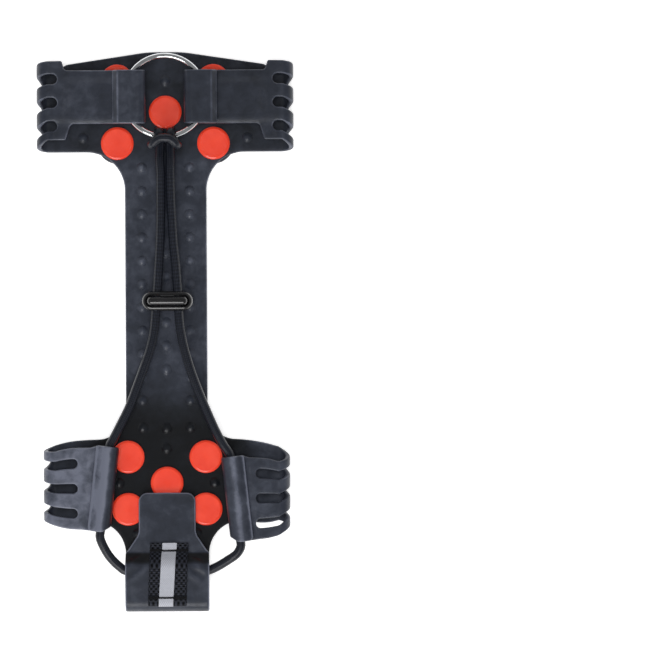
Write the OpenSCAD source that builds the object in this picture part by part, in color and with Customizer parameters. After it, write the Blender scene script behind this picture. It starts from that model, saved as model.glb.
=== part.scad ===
// Ice cleat: a moulded rubber sheet with ten studs, folded straps and an elastic heel cord.
// The inner face is up, the toe is at +Y, and the cleat stands on its stud tips at z = 0.

/* [Sheet] */
// Length from the toe edge to the heel fold
sheet_l = 290.8; // [284:0.2:298]
// Width over the folds of the toe straps
toe_w = 133.4; // [128:0.2:140]
// Width over the folds of the heel wings
heel_w = 128; // [124:0.2:134]
// Width of the waist between the forefoot and the heel
waist_w = 42.4; // [40:0.2:45]
// Thickness of the sole under the foot
sole_t = 4; // [3:0.1:5]
// Thickness of the straps, the wings and the tab
strap_t = 2.4; // [2:0.1:2.8]
// Inner radius of every fold
fold_r = 3.4; // [3.2:0.1:4]
// Radius of the blend from the toe wings to the waist
toe_fillet = 20; // [14:1:24]
// Radius of the blend from the waist to the heel wings
heel_fillet = 15; // [10:1:18]
// Radius of the blend from the heel wings to the tab
tab_fillet = 17; // [10:1:20]
// Radius of the rounded toe edge
toe_edge_r = 30; // [10:1:50]
// Drop of the toe edge from its middle to the folds
toe_drop = 11.2; // [8:0.1:14]

/* [Toe straps] */
// Distance from the toe edge to the toe wings' rear edge
toe_wing_l = 52; // [50:0.1:54]
// Distance from the toe edge to the middle of the ring
ring_back = 23.3; // [22.6:0.1:24]
// Width of a strap between its fold and the ring
strap_w = 27.8; // [24:0.1:32]
// Reach of a strap's loop from the middle line
strap_in = 10; // [9.6:0.1:11]
// Place of the flap's bonded edge from the middle line
flap_edge = 27.5; // [26:0.1:30]
// Distance from a strap's fold to its rear shoulder
rear_shoulder_l = 12; // [10:0.1:15]
// Distance from a strap's fold to its front shoulder
front_shoulder_l = 8.9; // [7.5:0.1:11]
// Shift of the strap towards the toe as it folds over
toe_shift = 6.2; // [4:0.1:7]

/* [Stretch slots] */
// Width of the slots at the toe folds
toe_slot_w = 5.2; // [4:0.1:6]
// Spacing of the slots at the toe folds
toe_slot_pitch = 12.2; // [11:0.1:13]
// Length of the toe slots in the folded-over layer
toe_slot_l = 5; // [3:0.1:8]
// Width of the slots at the heel folds
heel_slot_w = 5; // [4:0.1:6]
// Spacing of the slots at the heel folds
heel_slot_pitch = 13; // [12:0.1:14]
// Length of the heel slots in the folded-over layer
heel_slot_l = 12; // [6:0.1:14]
// Length of every slot in the lower layer
under_slot_l = 2.6; // [2.6:0.1:8]

/* [Heel wings and tab] */
// Distance from the heel fold to the heel wings' front edge
wing_in = 89.4; // [88:0.1:91]
// Length of a heel wing along its fold
wing_l = 42.5; // [40:0.1:45]
// Shift of the left wing towards the heel as it folds over
left_shift = 4; // [2:0.1:6]
// Shift of the right wing towards the heel as it folds over
right_shift = 9.5; // [7:0.1:11]
// Distance from the left fold line to the front end of its sleeve
left_sleeve_in = 28.5; // [27:0.1:29.5]
// Distance from the right fold line to the front end of its sleeve
right_sleeve_in = 24.9; // [23.5:0.1:26]
// Outside diameter of the cord sleeves
sleeve_d = 10.4; // [9.6:0.1:11]
// Width of the heel tab
tab_w = 43.4; // [42:0.1:46]
// Width of the pull end of the heel tab
pull_w = 29.6; // [26:0.1:34]
// Reach of the pull end from the heel fold
pull_reach = 61.7; // [58:0.1:66]
// Corner radius of the pull end
pull_r = 4.7; // [2:0.1:8]

/* [Studs] */
// Distance from the toe edge to the middle forefoot stud
front_stud_back = 31.2; // [30.6:0.1:32]
// Distance from the heel fold to the middle heel stud
heel_stud_in = 66.7; // [66:0.1:68]
// Sideways place of the outer forefoot studs
front_stud_x = 25; // [24:0.1:26]
// Lengthways place of the outer forefoot studs from the middle one
front_stud_y = 16.3; // [15:0.1:17]
// Sideways place of the outer heel studs
heel_stud_x = 20.2; // [19:0.1:21]
// Lengthways place of the outer heel studs from the middle one
heel_stud_y = 13.6; // [13:0.1:14.4]
// Diameter of the disc on the inner face
disc_d = 17; // [15:0.1:18]
// Height of the disc
disc_h = 1.5; // [1.2:0.1:2]
// Diameter of the collar on the sole side
collar_d = 14.2; // [12:0.1:15]
// Height of the collar
collar_h = 3; // [2.6:0.1:4]
// Diameter of the stem through the sole
stem_d = 8; // [7:0.1:9]
// Diameter of the steel pin
pin_d = 4.8; // [4:0.1:5.4]
// Reach of the tip below the collar
pin_out = 2.6; // [2:0.1:4]
// Diameter of the carbide tip
tip_d = 2.2; // [1.6:0.1:2.8]

/* [Tread] */
// Length of the forefoot pad across the cleat
front_pad_w = 86; // [82:0.5:88]
// Width of the forefoot pad along the cleat
front_pad_h = 57; // [54:0.5:60]
// Length of the heel pad across the cleat
heel_pad_w = 72; // [68:0.5:76]
// Width of the heel pad along the cleat
heel_pad_h = 48; // [46:0.5:50]
// Width of the raised rim round a pad
rim_w = 2.4; // [1.6:0.1:3]
// Height of the raised rim
rim_h = 2.4; // [1.6:0.1:2.8]
// Thickness of a pad between its diamonds
pad_t = 0.8; // [0.5:0.1:1.2]
// Height of the diamonds on a pad
diamond_h = 1.2; // [0.8:0.1:1.4]
// Spacing of the diamonds along a row
diamond_pitch = 6; // [5:0.1:7]
// Spacing of the rows of diamonds
row_pitch = 5.3; // [5:0.1:6]
// Spacing of the chevron ridges
chevron_pitch = 11; // [10.5:0.1:11.2]
// Height of the chevron ridges
chevron_h = 2.2; // [1:0.1:2.6]
// Spacing of the bumps along the inner face
bump_pitch = 12.1; // [11.5:0.1:13]
// Sideways place of the two rows of bumps
bump_x = 12.4; // [10:0.1:14]
// Diameter of the bumps on the inner face
bump_d = 5; // [4:0.1:6]
// Height of the bumps
bump_h = 1.2; // [0.6:0.1:1.4]

/* [Ring, cord and lock] */
// Outside diameter of the toe ring
ring_d = 44.7; // [44:0.1:46]
// Diameter of the ring's wire
wire_d = 2.7; // [2.4:0.1:3]
// Diameter of the elastic cord
cord_d = 4.7; // [4.4:0.1:4.8]
// Width of the cord lock across the cleat
lock_w = 26.5; // [25:0.1:30]
// Depth of the cord lock along the cleat
lock_d = 10.3; // [9:0.1:12]
// Width of the lock's button
button_w = 21; // [20.4:0.1:22]
// Depth of the lock's button
button_d = 4.6; // [4:0.1:5.4]
// Travel of the button
button_travel = 2; // [1.5:0.1:2.5]
// Place of the lock along the cleat
lock_y = 15.9; // [12:0.1:70]
// Place of the lock across the cleat, off its middle
lock_x = 0.9; // [0.6:0.1:1]

/* [Webbing] */
// Width of the webbing patch on the tab
webbing_w = 20; // [15:0.5:25]
// Thickness of the webbing
webbing_t = 1.2; // [0.8:0.1:1.6]
// Length of the webbing patch
webbing_l = 32.3; // [31:0.1:34]
// Width of the reflective tape
tape_w = 7.5; // [5:0.1:9]

/* [Hidden] */
$fn = 48;
stud_count = 10;
function numbered(name) = [for (i = [1:stud_count]) str(name, i)];

// Colours
rubber = "#2d3138";
tread_black = "#1b1c1f";
disc_red = "#ee4a2f";
collar_orange = "#ff7d3c";
steel = "#c9ccd0";
carbide = "#6d7276";
cord_black = "#17171a";
gloss_black = "#101012";
tape_grey = "#c4c6c8";

// Clearances: a pressed fit, pieces that slide or turn, and folded layers lying on studs
press_gap = 0.05;
run_gap = 0.3;
lie_gap = 0.3;

// Heights
sole_z = pin_out + collar_h;
sole_top = sole_z + sole_t;
wing_z = sole_top - strap_t;
fold_z = sole_top + fold_r;
upper_z = sole_top + 2 * fold_r;
fold_out = fold_r + strap_t;
disc_top = sole_top + disc_h;
pull_z = disc_top + lie_gap;

// Fold lines
toe_fold_x = toe_w / 2 - fold_out;
heel_fold_x = heel_w / 2 - fold_out;
tab_fold_y = -sheet_l / 2 + fold_out;

// Studs: middle of each group of five, and the five places
front_y = sheet_l / 2 - front_stud_back;
heel_y = -sheet_l / 2 + heel_stud_in;
function five(y, dx, dy) = [[-dx, y + dy], [dx, y + dy], [0, y], [-dx, y - dy], [dx, y - dy]];
front_studs = five(front_y, front_stud_x, front_stud_y);
heel_studs = five(heel_y, heel_stud_x, heel_stud_y);
studs = concat(front_studs, heel_studs);
pin_depth = 2.4;
pin_short = 0.4;
tip_l = 2.2;
chamfer = 0.6;

// Slots, from the rear one forwards, and the edges of the toe and heel wings at their folds
toe_rear_y = sheet_l / 2 - toe_wing_l;
toe_front_y = sheet_l / 2 - toe_drop;
toe_slot_offset = -1;
toe_slots = [for (i = [-1:1]) (toe_front_y + toe_rear_y) / 2 + toe_slot_offset + i * toe_slot_pitch];
wing_front_y = -sheet_l / 2 + wing_in;
wing_rear_y = wing_front_y - wing_l;
heel_slots = [for (i = [-1:1]) (wing_front_y + wing_rear_y) / 2 + i * heel_slot_pitch];

// Share by which the bands of a fold draw together halfway round it, or spread if it is negative
toe_gather = -0.07;
heel_gather = 0.14;

// Toe straps and ring
ring_y = sheet_l / 2 - ring_back;
ring_r = (ring_d - wire_d) / 2;
pocket_h = wire_d + 2 * run_gap;
ring_z = upper_z + strap_t + pocket_h / 2;
bight_r = pocket_h / 2 + strap_t;
bight_x = strap_in + bight_r;
strap_mid_y = ring_y - run_gap;
rear_shoulder_x = toe_fold_x - rear_shoulder_l;
front_shoulder_x = toe_fold_x - front_shoulder_l;
rear_shoulder_lean = 2.7;
front_shoulder_lean = 1.4;
shoulder_r = 2;
pocket_end = ring_d / 2 + 2 * run_gap;
flap_lap = 2;

// Cord sleeves: place of each one's front end, and its slant
sleeve_lean = 6.3;
sleeve_drop = 0.4;
sleeve_gap = 0.35;
sleeve_z = upper_z + strap_t / 2 - sleeve_drop;
sleeve_bore = cord_d + 2 * sleeve_gap;
left_sleeve_x = heel_fold_x - left_sleeve_in;
right_sleeve_x = heel_fold_x - right_sleeve_in;

// Heel tab: the crease where it drops from the fold onto the studs, and the flare of the pull end
crease_in = 18.6;
crease_l = 5.5;
crease_high = tab_fold_y + crease_in;
crease_low = crease_high + crease_l;
flare_l = 10.5;
flare_r = 3;
pull_neck_r = 6;
pull_y = -sheet_l / 2 + pull_reach;

// Webbing patch, tape and tacks
webbing_over = 2.4;
webbing_rear = tab_fold_y - webbing_over;
webbing_front = webbing_rear + webbing_l;
tape_t = 0.25;
tack_w = 1.8;
tack_t = 0.5;
tack_inset = 4;
tack_places = [webbing_rear + tack_inset, webbing_front - tack_inset];

// Cord lock heights, from its floor up
lock_z = sole_top + bump_h + lie_gap;
lock_floor = 1.2;
spring_room = 3;
bridge_t = 1.4;
passage_gap = 0.35;
passage_h = cord_d + 2 * passage_gap;
passage_w = 18.4;
lock_roof = 1.3;
button_rest = 0.9;
button_proud = button_travel + button_rest;
bridge_z = lock_z + lock_floor + spring_room;
passage_z = bridge_z + bridge_t;
lock_top = passage_z + passage_h + lock_roof;
spring_d = 4;
spring_x = 6;
spring_wall = 0.6;

// Chevron ridges: each one has two peaks and a valley on the middle line
chevron_peak = 12;
chevron_drop = 9.4;
chevron_w = 2.7;
chevron_inset = 2;
chevron_end_gap = 12;
chevron_first = front_y - front_pad_h / 2 - rim_w - run_gap;
chevron_last = heel_y + heel_pad_h / 2 + rim_w + chevron_end_gap + chevron_drop + chevron_w;
chevron_count = floor((chevron_first - chevron_last) / chevron_pitch) + 1;

// Tread pads: gaps between the rows of diamonds, at their tips and round the collars
row_gap = 0.9;
row_neck = 0.4;
pad_border = 1.2;
collar_gap = 0.5;

// Bumps on the inner face
bump_slope = 1;
side_from = 29;
side_to = 40;
side_last = 28.8;
middle_from = 73.3;
middle_to = 55;
side_start = front_y - side_from;
side_end = heel_y + side_to;
middle_start = front_y - middle_from;
middle_end = heel_y + middle_to;
side_bumps = [for (y = [side_start:-bump_pitch:side_end], s = [-1, 1]) [s * bump_x, y]];
middle_bumps = [for (y = [middle_start:-bump_pitch:middle_end]) [0, y]];
heel_bump_pitch = 10.6;
disc_to_bump = 9.2;
wing_bump_rise = 2.9;
stud_to_edge_bump = 4.7;
stud_to_tab_bump = 12.7;
wing_bump_x = front_stud_x + disc_d / 2 + disc_to_bump;
edge_bump_x = heel_stud_x + stud_to_edge_bump;
tab_bump_x = (pull_w + webbing_t) / 2;
heel_bump_y = heel_y + disc_d / 2 + disc_to_bump;
tab_bump_y = heel_y - heel_stud_y - stud_to_tab_bump;
wing_bump_y = front_y - front_stud_y + wing_bump_rise;
loose_bumps = [[-wing_bump_x, wing_bump_y], [wing_bump_x, wing_bump_y],
    [-bump_x, heel_y + side_last], [bump_x, heel_y + side_last],
    [0, front_y + front_stud_y], [0, heel_bump_y], [0, heel_bump_y + heel_bump_pitch],
    [-edge_bump_x, heel_y], [edge_bump_x, heel_y],
    [-tab_bump_x, tab_bump_y], [tab_bump_x, tab_bump_y]];

// Elastic cord: one route from its joint in the tab, round the left side to the ring and back
cord_sides = 10;
in_tab_left = [[14.8, -124.3, 13.2], [9, -124.3, 13.2], [0, -124.3, 13.2], [-9, -124.3, 13.2],
    [-20.5, -124.3, 13.2]];
tail_left = [[-25, -121.8, 13.6], [-30, -116.6, 14.6], [-33.4, -110.6, 16.2], [-34.8, -106.4, 17],
    [-34.4, -102.5, 17.2]];
in_sleeve_left = [[-33.4, -93.5, 17.2], [-32.1, -81.7, 17.2], [-30.8, -70, 17.2], [-29.7, -60, 17.2]];
rear_left = [[-27.6, -55.5, 17.2], [-23.7, -48, 17.6], [-19, -38.5, 18.2], [-15, -28, 18.7],
    [-11.3, -18, 19.1], [-8.2, -9, 19.3], [-6.2, 0, 19.4]];
strand_left = [[-5.2, 10, 19.4], [-4.3, 22, 19.4], [-3.5, 34, 19.4], [-2.8, 46, 19.4],
    [-2.4, 58, 19.4], [-2.3, 70, 19.4], [-2.3, 82, 19.4]];
hitch_left = [[-2.8, 89, 18.4], [-2.7, 94, 16.8], [-2.6, 98, 16], [-2.7, 101.5, 15.9],
    [-2.8, 104.4, 17.3], [-2.9, 105.6, 20.2], [-2.9, 104.8, 23.1], [-2.9, 102.6, 24.8],
    [-3.3, 100.5, 24.6], [-4.4, 98.8, 23.9], [-5.9, 97.3, 24.6], [-6.5, 96.7, 26.6],
    [-5.9, 97.3, 28.6], [-4.4, 98.7, 29.5], [-2.2, 99.9, 29.8]];
strand_right = [[2.85, 70, 19.4], [3.4, 58, 19.4], [4.1, 46, 19.4], [5.3, 34, 19.4],
    [6.1, 22, 19.4], [6.7, 10, 19.4], [7.7, 0, 19.4]];
rear_right = [[9.8, -10, 19.3], [12.9, -20.5, 19], [16.7, -31, 18.5], [20.8, -41, 18],
    [25.2, -51, 17.6], [29.2, -58.6, 17.3], [31.7, -62.2, 17.2], [33.2, -65.8, 17.2]];
in_sleeve_right = [[34.4, -75.5, 17.2], [35.7, -87, 17.2], [37, -98.7, 17.2], [38, -108, 17.2]];
tail_right = [[38.2, -111.8, 17], [36, -115.6, 16.2], [31.2, -119, 14.8], [25.5, -122.4, 13.6],
    [20.5, -124.3, 13.2]];
in_tab_right = [[15.2, -124.3, 13.2]];
function mirrored(p) = [for (i = [len(p) - 1:-1:0]) [-p[i].x, p[i].y, p[i].z]];
cord_runs = [in_tab_left, tail_left, in_sleeve_left, rear_left, strand_left,
    concat(hitch_left, mirrored(hitch_left), [[2.65, 82, 19.4]]),
    strand_right, rear_right, in_sleeve_right, tail_right, in_tab_right];
cord_route = [for (run = cord_runs) each run];

// Ferrule on the cord's ends, clear of the keeper, and the keeper's path under the cord
crimp_x = 15;
crimp_l = 8;
crimp_d = 6;
joint_in = 15.3;
joint_lift = 0.2;
joint_y = tab_fold_y + joint_in;
joint_z = fold_z + joint_lift;
keeper_t = 0.7;
keeper_half = 3.2;
keeper_slope_l = 2.8;
keeper_high = upper_z - keeper_t;
keeper_low = sole_top + lie_gap;
keeper_end = pull_z - keeper_t;
keeper_path = [[webbing_rear + tack_inset, keeper_high],
    [joint_y - keeper_half - keeper_slope_l, keeper_high],
    [joint_y - keeper_half, keeper_low], [joint_y + keeper_half, keeper_low],
    [crease_low, keeper_end], [webbing_front - tack_inset / 2, keeper_end]];

// Outlines
function unit(v) = v / norm(v);

// Points of the arc that rounds corner b between a and c
function corner_arc(a, b, c, r, steps) =
    let (u = unit(a - b), v = unit(c - b), half = acos(u * v) / 2,
        middle = b + unit(u + v) * r / sin(half),
        from = b + u * r / tan(half) - middle, to = b + v * r / tan(half) - middle,
        first = atan2(from.y, from.x), gap = atan2(to.y, to.x) - first,
        turn = gap > 180 ? gap - 360 : gap < -180 ? gap + 360 : gap)
    [for (i = [0:steps]) middle + r * [cos(first + turn * i / steps), sin(first + turn * i / steps)]];

// Outline through corners [x, y, radius], where a radius of 0 stays sharp
function rounded(p, steps = 8) = [for (i = [0:len(p) - 1])
    let (a = p[(i + len(p) - 1) % len(p)], b = p[i], c = p[(i + 1) % len(p)])
    each (b[2] == 0 ? [[b.x, b.y]]
        : corner_arc([a.x, a.y], [b.x, b.y], [c.x, c.y], b[2], steps))];

// Right half of the lower layer, from the toe to the heel fold
toe_apex = sheet_l / 2 + toe_edge_r * (1 / cos(atan(toe_drop / toe_fold_x)) - 1);
right_half = [[toe_fold_x, toe_front_y, 0], [toe_fold_x, toe_rear_y, 0],
    [waist_w / 2, toe_rear_y, toe_fillet], [waist_w / 2, wing_front_y, heel_fillet],
    [heel_fold_x, wing_front_y, 0], [heel_fold_x, wing_rear_y, 0],
    [tab_w / 2, wing_rear_y, tab_fillet], [tab_w / 2, tab_fold_y, 0]];
left_half = [for (i = [len(right_half) - 1:-1:0]) [-right_half[i].x, right_half[i].y, right_half[i][2]]];
lower_outline = rounded(concat([[0, toe_apex, toe_edge_r]], right_half, left_half));

// Ellipse of a pad, grown by a margin
function ellipse(w, h, margin = 0) =
    [for (a = [0:7.5:359]) [(w / 2 + margin) * cos(a), (h / 2 + margin) * sin(a)]];

// Pad outline: an ellipse that bulges round the corner studs
module pad_outline(y, w, h, places, margin) {
    translate([0, y]) polygon(ellipse(w, h, margin));
    for (p = places) translate(p) circle(d = collar_d + 4 * collar_gap + 2 * margin);
}

module front_outline(margin) pad_outline(front_y, front_pad_w, front_pad_h, front_studs, margin);
module heel_outline(margin) pad_outline(heel_y, heel_pad_w, heel_pad_h, heel_studs, margin);

// Slots that open at a fold line, with round inner ends
module slots(places, fold_x, length, width) {
    for (y = places) translate([fold_x - length + width / 2, y]) {
        circle(d = width);
        translate([0, -width / 2]) square([length, width]);
    }
}

// One ridge across the waist underside
module chevron(y) {
    end = waist_w / 2 - chevron_inset;
    slope = chevron_drop / chevron_peak;
    edge = [[-end, -slope * (end - chevron_peak)], [-chevron_peak, 0], [0, -chevron_drop],
        [chevron_peak, 0], [end, -slope * (end - chevron_peak)]];
    translate([0, y]) polygon(concat(edge, [for (i = [4:-1:0]) edge[i] - [0, chevron_w]]));
}

// Rubber sole with its lower layers
module sole() color(rubber) difference() {
    union() {
        translate([0, 0, wing_z]) linear_extrude(strap_t) polygon(lower_outline);
        translate([0, 0, sole_z]) linear_extrude(sole_t) {
            front_outline(rim_w);
            heel_outline(rim_w);
            translate([-waist_w / 2, heel_y]) square([waist_w, front_y - heel_y]);
        }
        translate([0, 0, sole_z - rim_h]) linear_extrude(rim_h + chamfer) {
            difference() {
                front_outline(rim_w);
                front_outline(0);
            }
            difference() {
                heel_outline(rim_w);
                heel_outline(0);
            }
        }
        translate([0, 0, sole_z - chevron_h]) linear_extrude(chevron_h + chamfer)
            for (i = [0:chevron_count - 1]) chevron(chevron_first - i * chevron_pitch);
        for (p = concat(side_bumps, middle_bumps, loose_bumps))
            translate([p.x, p.y, sole_top - chamfer])
                cylinder(h = bump_h + chamfer, d1 = bump_d + chamfer, d2 = bump_d - 2 * bump_slope);
    }
    for (p = studs) translate([p.x, p.y, sole_z - 1])
        cylinder(h = sole_t + 2, d = stem_d + 2 * press_gap);
    for (side = [0, 1]) mirror([side, 0, 0]) translate([0, 0, wing_z - 1])
        linear_extrude(strap_t + 2) {
            slots(toe_slots, toe_fold_x, under_slot_l, toe_slot_w);
            slots(heel_slots, heel_fold_x, under_slot_l, heel_slot_w);
        }
}

// Row of diamonds that meet at their points
module diamond_row(y, half_count, shift) {
    half = (row_pitch - row_gap) / 2;
    neck = row_neck / 2;
    count = 2 * half_count;
    top = [for (i = [-count:count])
        [(i / 2 + shift) * diamond_pitch, i % 2 == 0 ? half : neck]];
    translate([0, y]) polygon(concat(top, [for (i = [len(top) - 1:-1:0]) [top[i].x, -top[i].y]]));
}

// Black pad under the sole, inside its rim and clear of the collars
module tread_pad(y, w, h, places) color(tread_black) {
    rows = floor(h / 2 / row_pitch);
    difference() {
        union() {
            translate([0, 0, sole_z - pad_t]) linear_extrude(pad_t)
                pad_outline(y, w, h, places, -press_gap);
            translate([0, 0, sole_z - pad_t - diamond_h]) linear_extrude(diamond_h + pad_t / 2)
                intersection() {
                    translate([0, y]) polygon(ellipse(w, h, -pad_border));
                    for (i = [-rows:rows])
                        diamond_row(y + i * row_pitch, ceil(w / 2 / diamond_pitch), i % 2 == 0 ? 0 : 0.5);
                }
        }
        for (p = places) translate([p.x, p.y, sole_z - pad_t - diamond_h - 1])
            cylinder(h = pad_t + diamond_h + 2, d = collar_d + 2 * collar_gap);
    }
}

module tread_pad_front() tread_pad(front_y, front_pad_w, front_pad_h, front_studs);
module tread_pad_heel() tread_pad(heel_y, heel_pad_w, heel_pad_h, heel_studs);

// Band round a fold along Y: from the lower layer out, round and back over, moving by shift.
// Halfway round, it is drawn towards the fold's middle by the share gather.
module fold_band(from, to, shift, middle = 0, gather = 0, steps = 12) {
    function at(i, r, y) =
        let (a = -90 + 180 * i / steps)
        [r * cos(a), y - gather * (y - middle) * cos(a) + shift * i / steps, r * sin(a)];
    points = [for (i = [0:steps])
        each [at(i, fold_r, from), at(i, fold_out, from), at(i, fold_out, to), at(i, fold_r, to)]];
    sides = [for (i = [0:steps - 1], k = [0:3])
        let (a = 4 * i + k, b = 4 * i + (k + 1) % 4)
        each [[a, b, a + 4], [b, b + 4, a + 4]]];
    last = 4 * steps;
    polyhedron(points, concat(sides, [[0, 3, 2], [0, 2, 1]],
        [[last, last + 1, last + 2], [last, last + 2, last + 3]]));
}

// Four bands between three slots
module four_bands(rear, front, places, width, shift, gather) {
    starts = concat([rear], [for (y = places) y + width / 2]);
    ends = concat([for (y = places) y - width / 2], [front]);
    for (i = [0:3]) fold_band(starts[i], ends[i], shift, (rear + front) / 2, gather);
}

module toe_fold() color(rubber) translate([toe_fold_x, 0, fold_z])
    four_bands(toe_rear_y, toe_front_y, toe_slots, toe_slot_w, toe_shift, toe_gather);
module toe_fold_left() mirror([1, 0, 0]) toe_fold();
module toe_fold_right() toe_fold();

// Folded-over toe strap, whose end loops over the ring and is bonded back down
module toe_strap() color(rubber) {
    low = strap_mid_y - strap_w / 2;
    high = strap_mid_y + strap_w / 2;
    loop_top = upper_z + 2 * bight_r;
    rear_edge = toe_rear_y + toe_shift;
    front_edge = toe_front_y + toe_shift;
    front_r = min(shoulder_r, (front_edge - high) / 3);
    translate([0, high, 0]) rotate([90, 0, 0]) linear_extrude(strap_w) difference() {
        union() {
            translate([bight_x, ring_z]) circle(r = bight_r);
            translate([bight_x, upper_z]) square([flap_edge - bight_x, loop_top - upper_z]);
        }
        translate([bight_x, ring_z]) circle(d = pocket_h);
        translate([bight_x, ring_z - pocket_h / 2]) square([pocket_end - bight_x, pocket_h]);
    }
    translate([0, 0, upper_z]) linear_extrude(strap_t) difference() {
        polygon(rounded([[flap_edge - flap_lap, low, 0], [rear_shoulder_x, low, shoulder_r],
            [rear_shoulder_x + rear_shoulder_lean, rear_edge, shoulder_r / 2],
            [toe_fold_x, rear_edge, 0], [toe_fold_x, front_edge, 0],
            [front_shoulder_x + front_shoulder_lean, front_edge, front_r / 2],
            [front_shoulder_x, high, front_r], [flap_edge - flap_lap, high, 0]]));
        slots([for (y = toe_slots) y + toe_shift], toe_fold_x, toe_slot_l, toe_slot_w);
    }
}

module toe_strap_left() mirror([1, 0, 0]) toe_strap();
module toe_strap_right() toe_strap();

module heel_fold(shift) color(rubber) translate([heel_fold_x, 0, fold_z])
    four_bands(wing_rear_y, wing_front_y, heel_slots, heel_slot_w, -shift, heel_gather);
module heel_fold_left() mirror([1, 0, 0]) heel_fold(left_shift);
module heel_fold_right() heel_fold(right_shift);

// Folded-over heel wing, whose end is rolled into a sleeve for the cord
module heel_wing(shift, sleeve_x) color(rubber) {
    front = wing_front_y - shift;
    rear = wing_rear_y - shift;
    sleeve_l = wing_l / cos(sleeve_lean);
    difference() {
        union() {
            translate([0, 0, upper_z]) linear_extrude(strap_t) difference() {
                polygon([[sleeve_x, front], [heel_fold_x, front], [heel_fold_x, rear],
                    [sleeve_x + wing_l * tan(sleeve_lean), rear]]);
                slots([for (y = heel_slots) y - shift], heel_fold_x, heel_slot_l, heel_slot_w);
            }
            translate([sleeve_x, front, sleeve_z]) rotate([90, 0, sleeve_lean])
                cylinder(h = sleeve_l, d = sleeve_d);
        }
        translate([sleeve_x, front, sleeve_z]) rotate([90, 0, sleeve_lean])
            translate([0, 0, -sleeve_l / 2]) cylinder(h = 2 * sleeve_l, d = sleeve_bore);
    }
}

module heel_wing_left() mirror([1, 0, 0]) heel_wing(left_shift, left_sleeve_x);
module heel_wing_right() heel_wing(right_shift, right_sleeve_x);

module heel_tab_bend() color(rubber) translate([0, tab_fold_y, fold_z]) rotate([0, 0, -90])
    fold_band(-tab_w / 2, tab_w / 2, 0);

// Layer that follows the upper face of the tab, lift above its underside
module tab_layer(from, to, width, lift, thickness) {
    function drop(y) = y < crease_high ? upper_z : y > crease_low ? pull_z
        : upper_z + (pull_z - upper_z) * (y - crease_high) / (crease_low - crease_high);
    line = [for (y = [from, crease_high, crease_low, to]) [y, drop(y) + lift]];
    translate([-width / 2, 0, 0]) rotate([90, 0, 90]) linear_extrude(width)
        polygon(concat(line, [for (i = [3:-1:0]) line[i] + [0, thickness]]));
}

// Upper layer of the heel tab, from its fold to the pull end
module heel_tab() color(rubber) intersection() {
    tab_layer(tab_fold_y, pull_y, tab_w, 0, strap_t);
    linear_extrude(upper_z + 2 * strap_t) polygon(rounded([
        [-tab_w / 2, tab_fold_y, 0], [tab_w / 2, tab_fold_y, 0],
        [tab_w / 2, crease_low, flare_r], [pull_w / 2, crease_low + flare_l, pull_neck_r],
        [pull_w / 2, pull_y, pull_r], [-pull_w / 2, pull_y, pull_r],
        [-pull_w / 2, crease_low + flare_l, pull_neck_r], [-tab_w / 2, crease_low, flare_r]]));
}

// Plastic disc on the inner face, with its stem through the sole
module stud_disc(i) color(disc_red) translate(studs[i - 1]) difference() {
    union() {
        translate([0, 0, sole_z]) cylinder(h = sole_t + chamfer, d = stem_d);
        translate([0, 0, sole_top]) cylinder(h = disc_h - chamfer, d = disc_d);
        translate([0, 0, disc_top - chamfer])
            cylinder(h = chamfer, d1 = disc_d, d2 = disc_d - 2 * chamfer);
    }
    translate([0, 0, sole_z - 1]) cylinder(h = pin_depth + 1, d = pin_d + 2 * press_gap);
}

// Plastic collar on the sole side
module stud_collar(i) color(collar_orange) translate(studs[i - 1]) difference() {
    union() {
        translate([0, 0, pin_out]) cylinder(h = chamfer, d1 = collar_d - 2 * chamfer, d2 = collar_d);
        translate([0, 0, pin_out + chamfer]) cylinder(h = collar_h - chamfer, d = collar_d);
    }
    translate([0, 0, pin_out - 1]) cylinder(h = collar_h + 2, d = pin_d + 2 * press_gap);
}

// Steel pins, each with a blind hole for its tip
module stud_pins(places) color(steel) for (p = places) translate(p) difference() {
    union() {
        translate([0, 0, pin_short]) cylinder(h = chamfer, d1 = pin_d - 2 * chamfer, d2 = pin_d);
        translate([0, 0, pin_short + chamfer])
            cylinder(h = sole_z + pin_depth - pin_short - chamfer, d = pin_d);
    }
    translate([0, 0, -1]) cylinder(h = tip_l + 1, d = tip_d + 2 * press_gap);
}

module stud_pins_front() stud_pins(front_studs);
module stud_pins_heel() stud_pins(heel_studs);

module carbide_tips(places) color(carbide) for (p = places) translate(p)
    cylinder(h = tip_l, d = tip_d);
module carbide_tips_front() carbide_tips(front_studs);
module carbide_tips_heel() carbide_tips(heel_studs);

module toe_ring() color(steel) translate([0, ring_y, ring_z]) rotate_extrude()
    translate([ring_r, 0]) circle(d = wire_d);

// Directions along the cord, and a side direction carried along it without twist
function square_to(v, t) = unit(v - t * (v * t));
function directions(p) = [for (i = [0:len(p) - 1])
    let (back = i == 0 ? p[1] - p[0] : p[i] - p[i - 1],
        ahead = i == len(p) - 1 ? back : p[i + 1] - p[i])
    unit(unit(back) + unit(ahead))];
function sides_of(t) = [for (i = 0, u = square_to([0, 0, 1], t[0]); i < len(t);
    i = i + 1, u = square_to(u, t[min(i, len(t) - 1)])) u];
cord_along = directions(cord_route);
cord_side = sides_of(cord_along);

// Cord between two points of the route
module cord_between(first, last) color(cord_black) {
    n = cord_sides;
    count = last - first;
    points = [for (i = [first:last], k = [0:n - 1])
        cord_route[i] + cord_d / 2 * (cos(360 * k / n) * cord_side[i]
            + sin(360 * k / n) * cross(cord_along[i], cord_side[i]))];
    walls = [for (i = [0:count - 1], k = [0:n - 1])
        let (a = n * i + k, b = n * i + (k + 1) % n)
        each [[a, a + n, b + n], [a, b + n, b]]];
    start_cap = [for (k = [1:n - 2]) [0, k, k + 1]];
    end_cap = [for (k = [1:n - 2]) [n * count, n * count + k + 1, n * count + k]];
    polyhedron(points, concat(walls, start_cap, end_cap));
}

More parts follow.
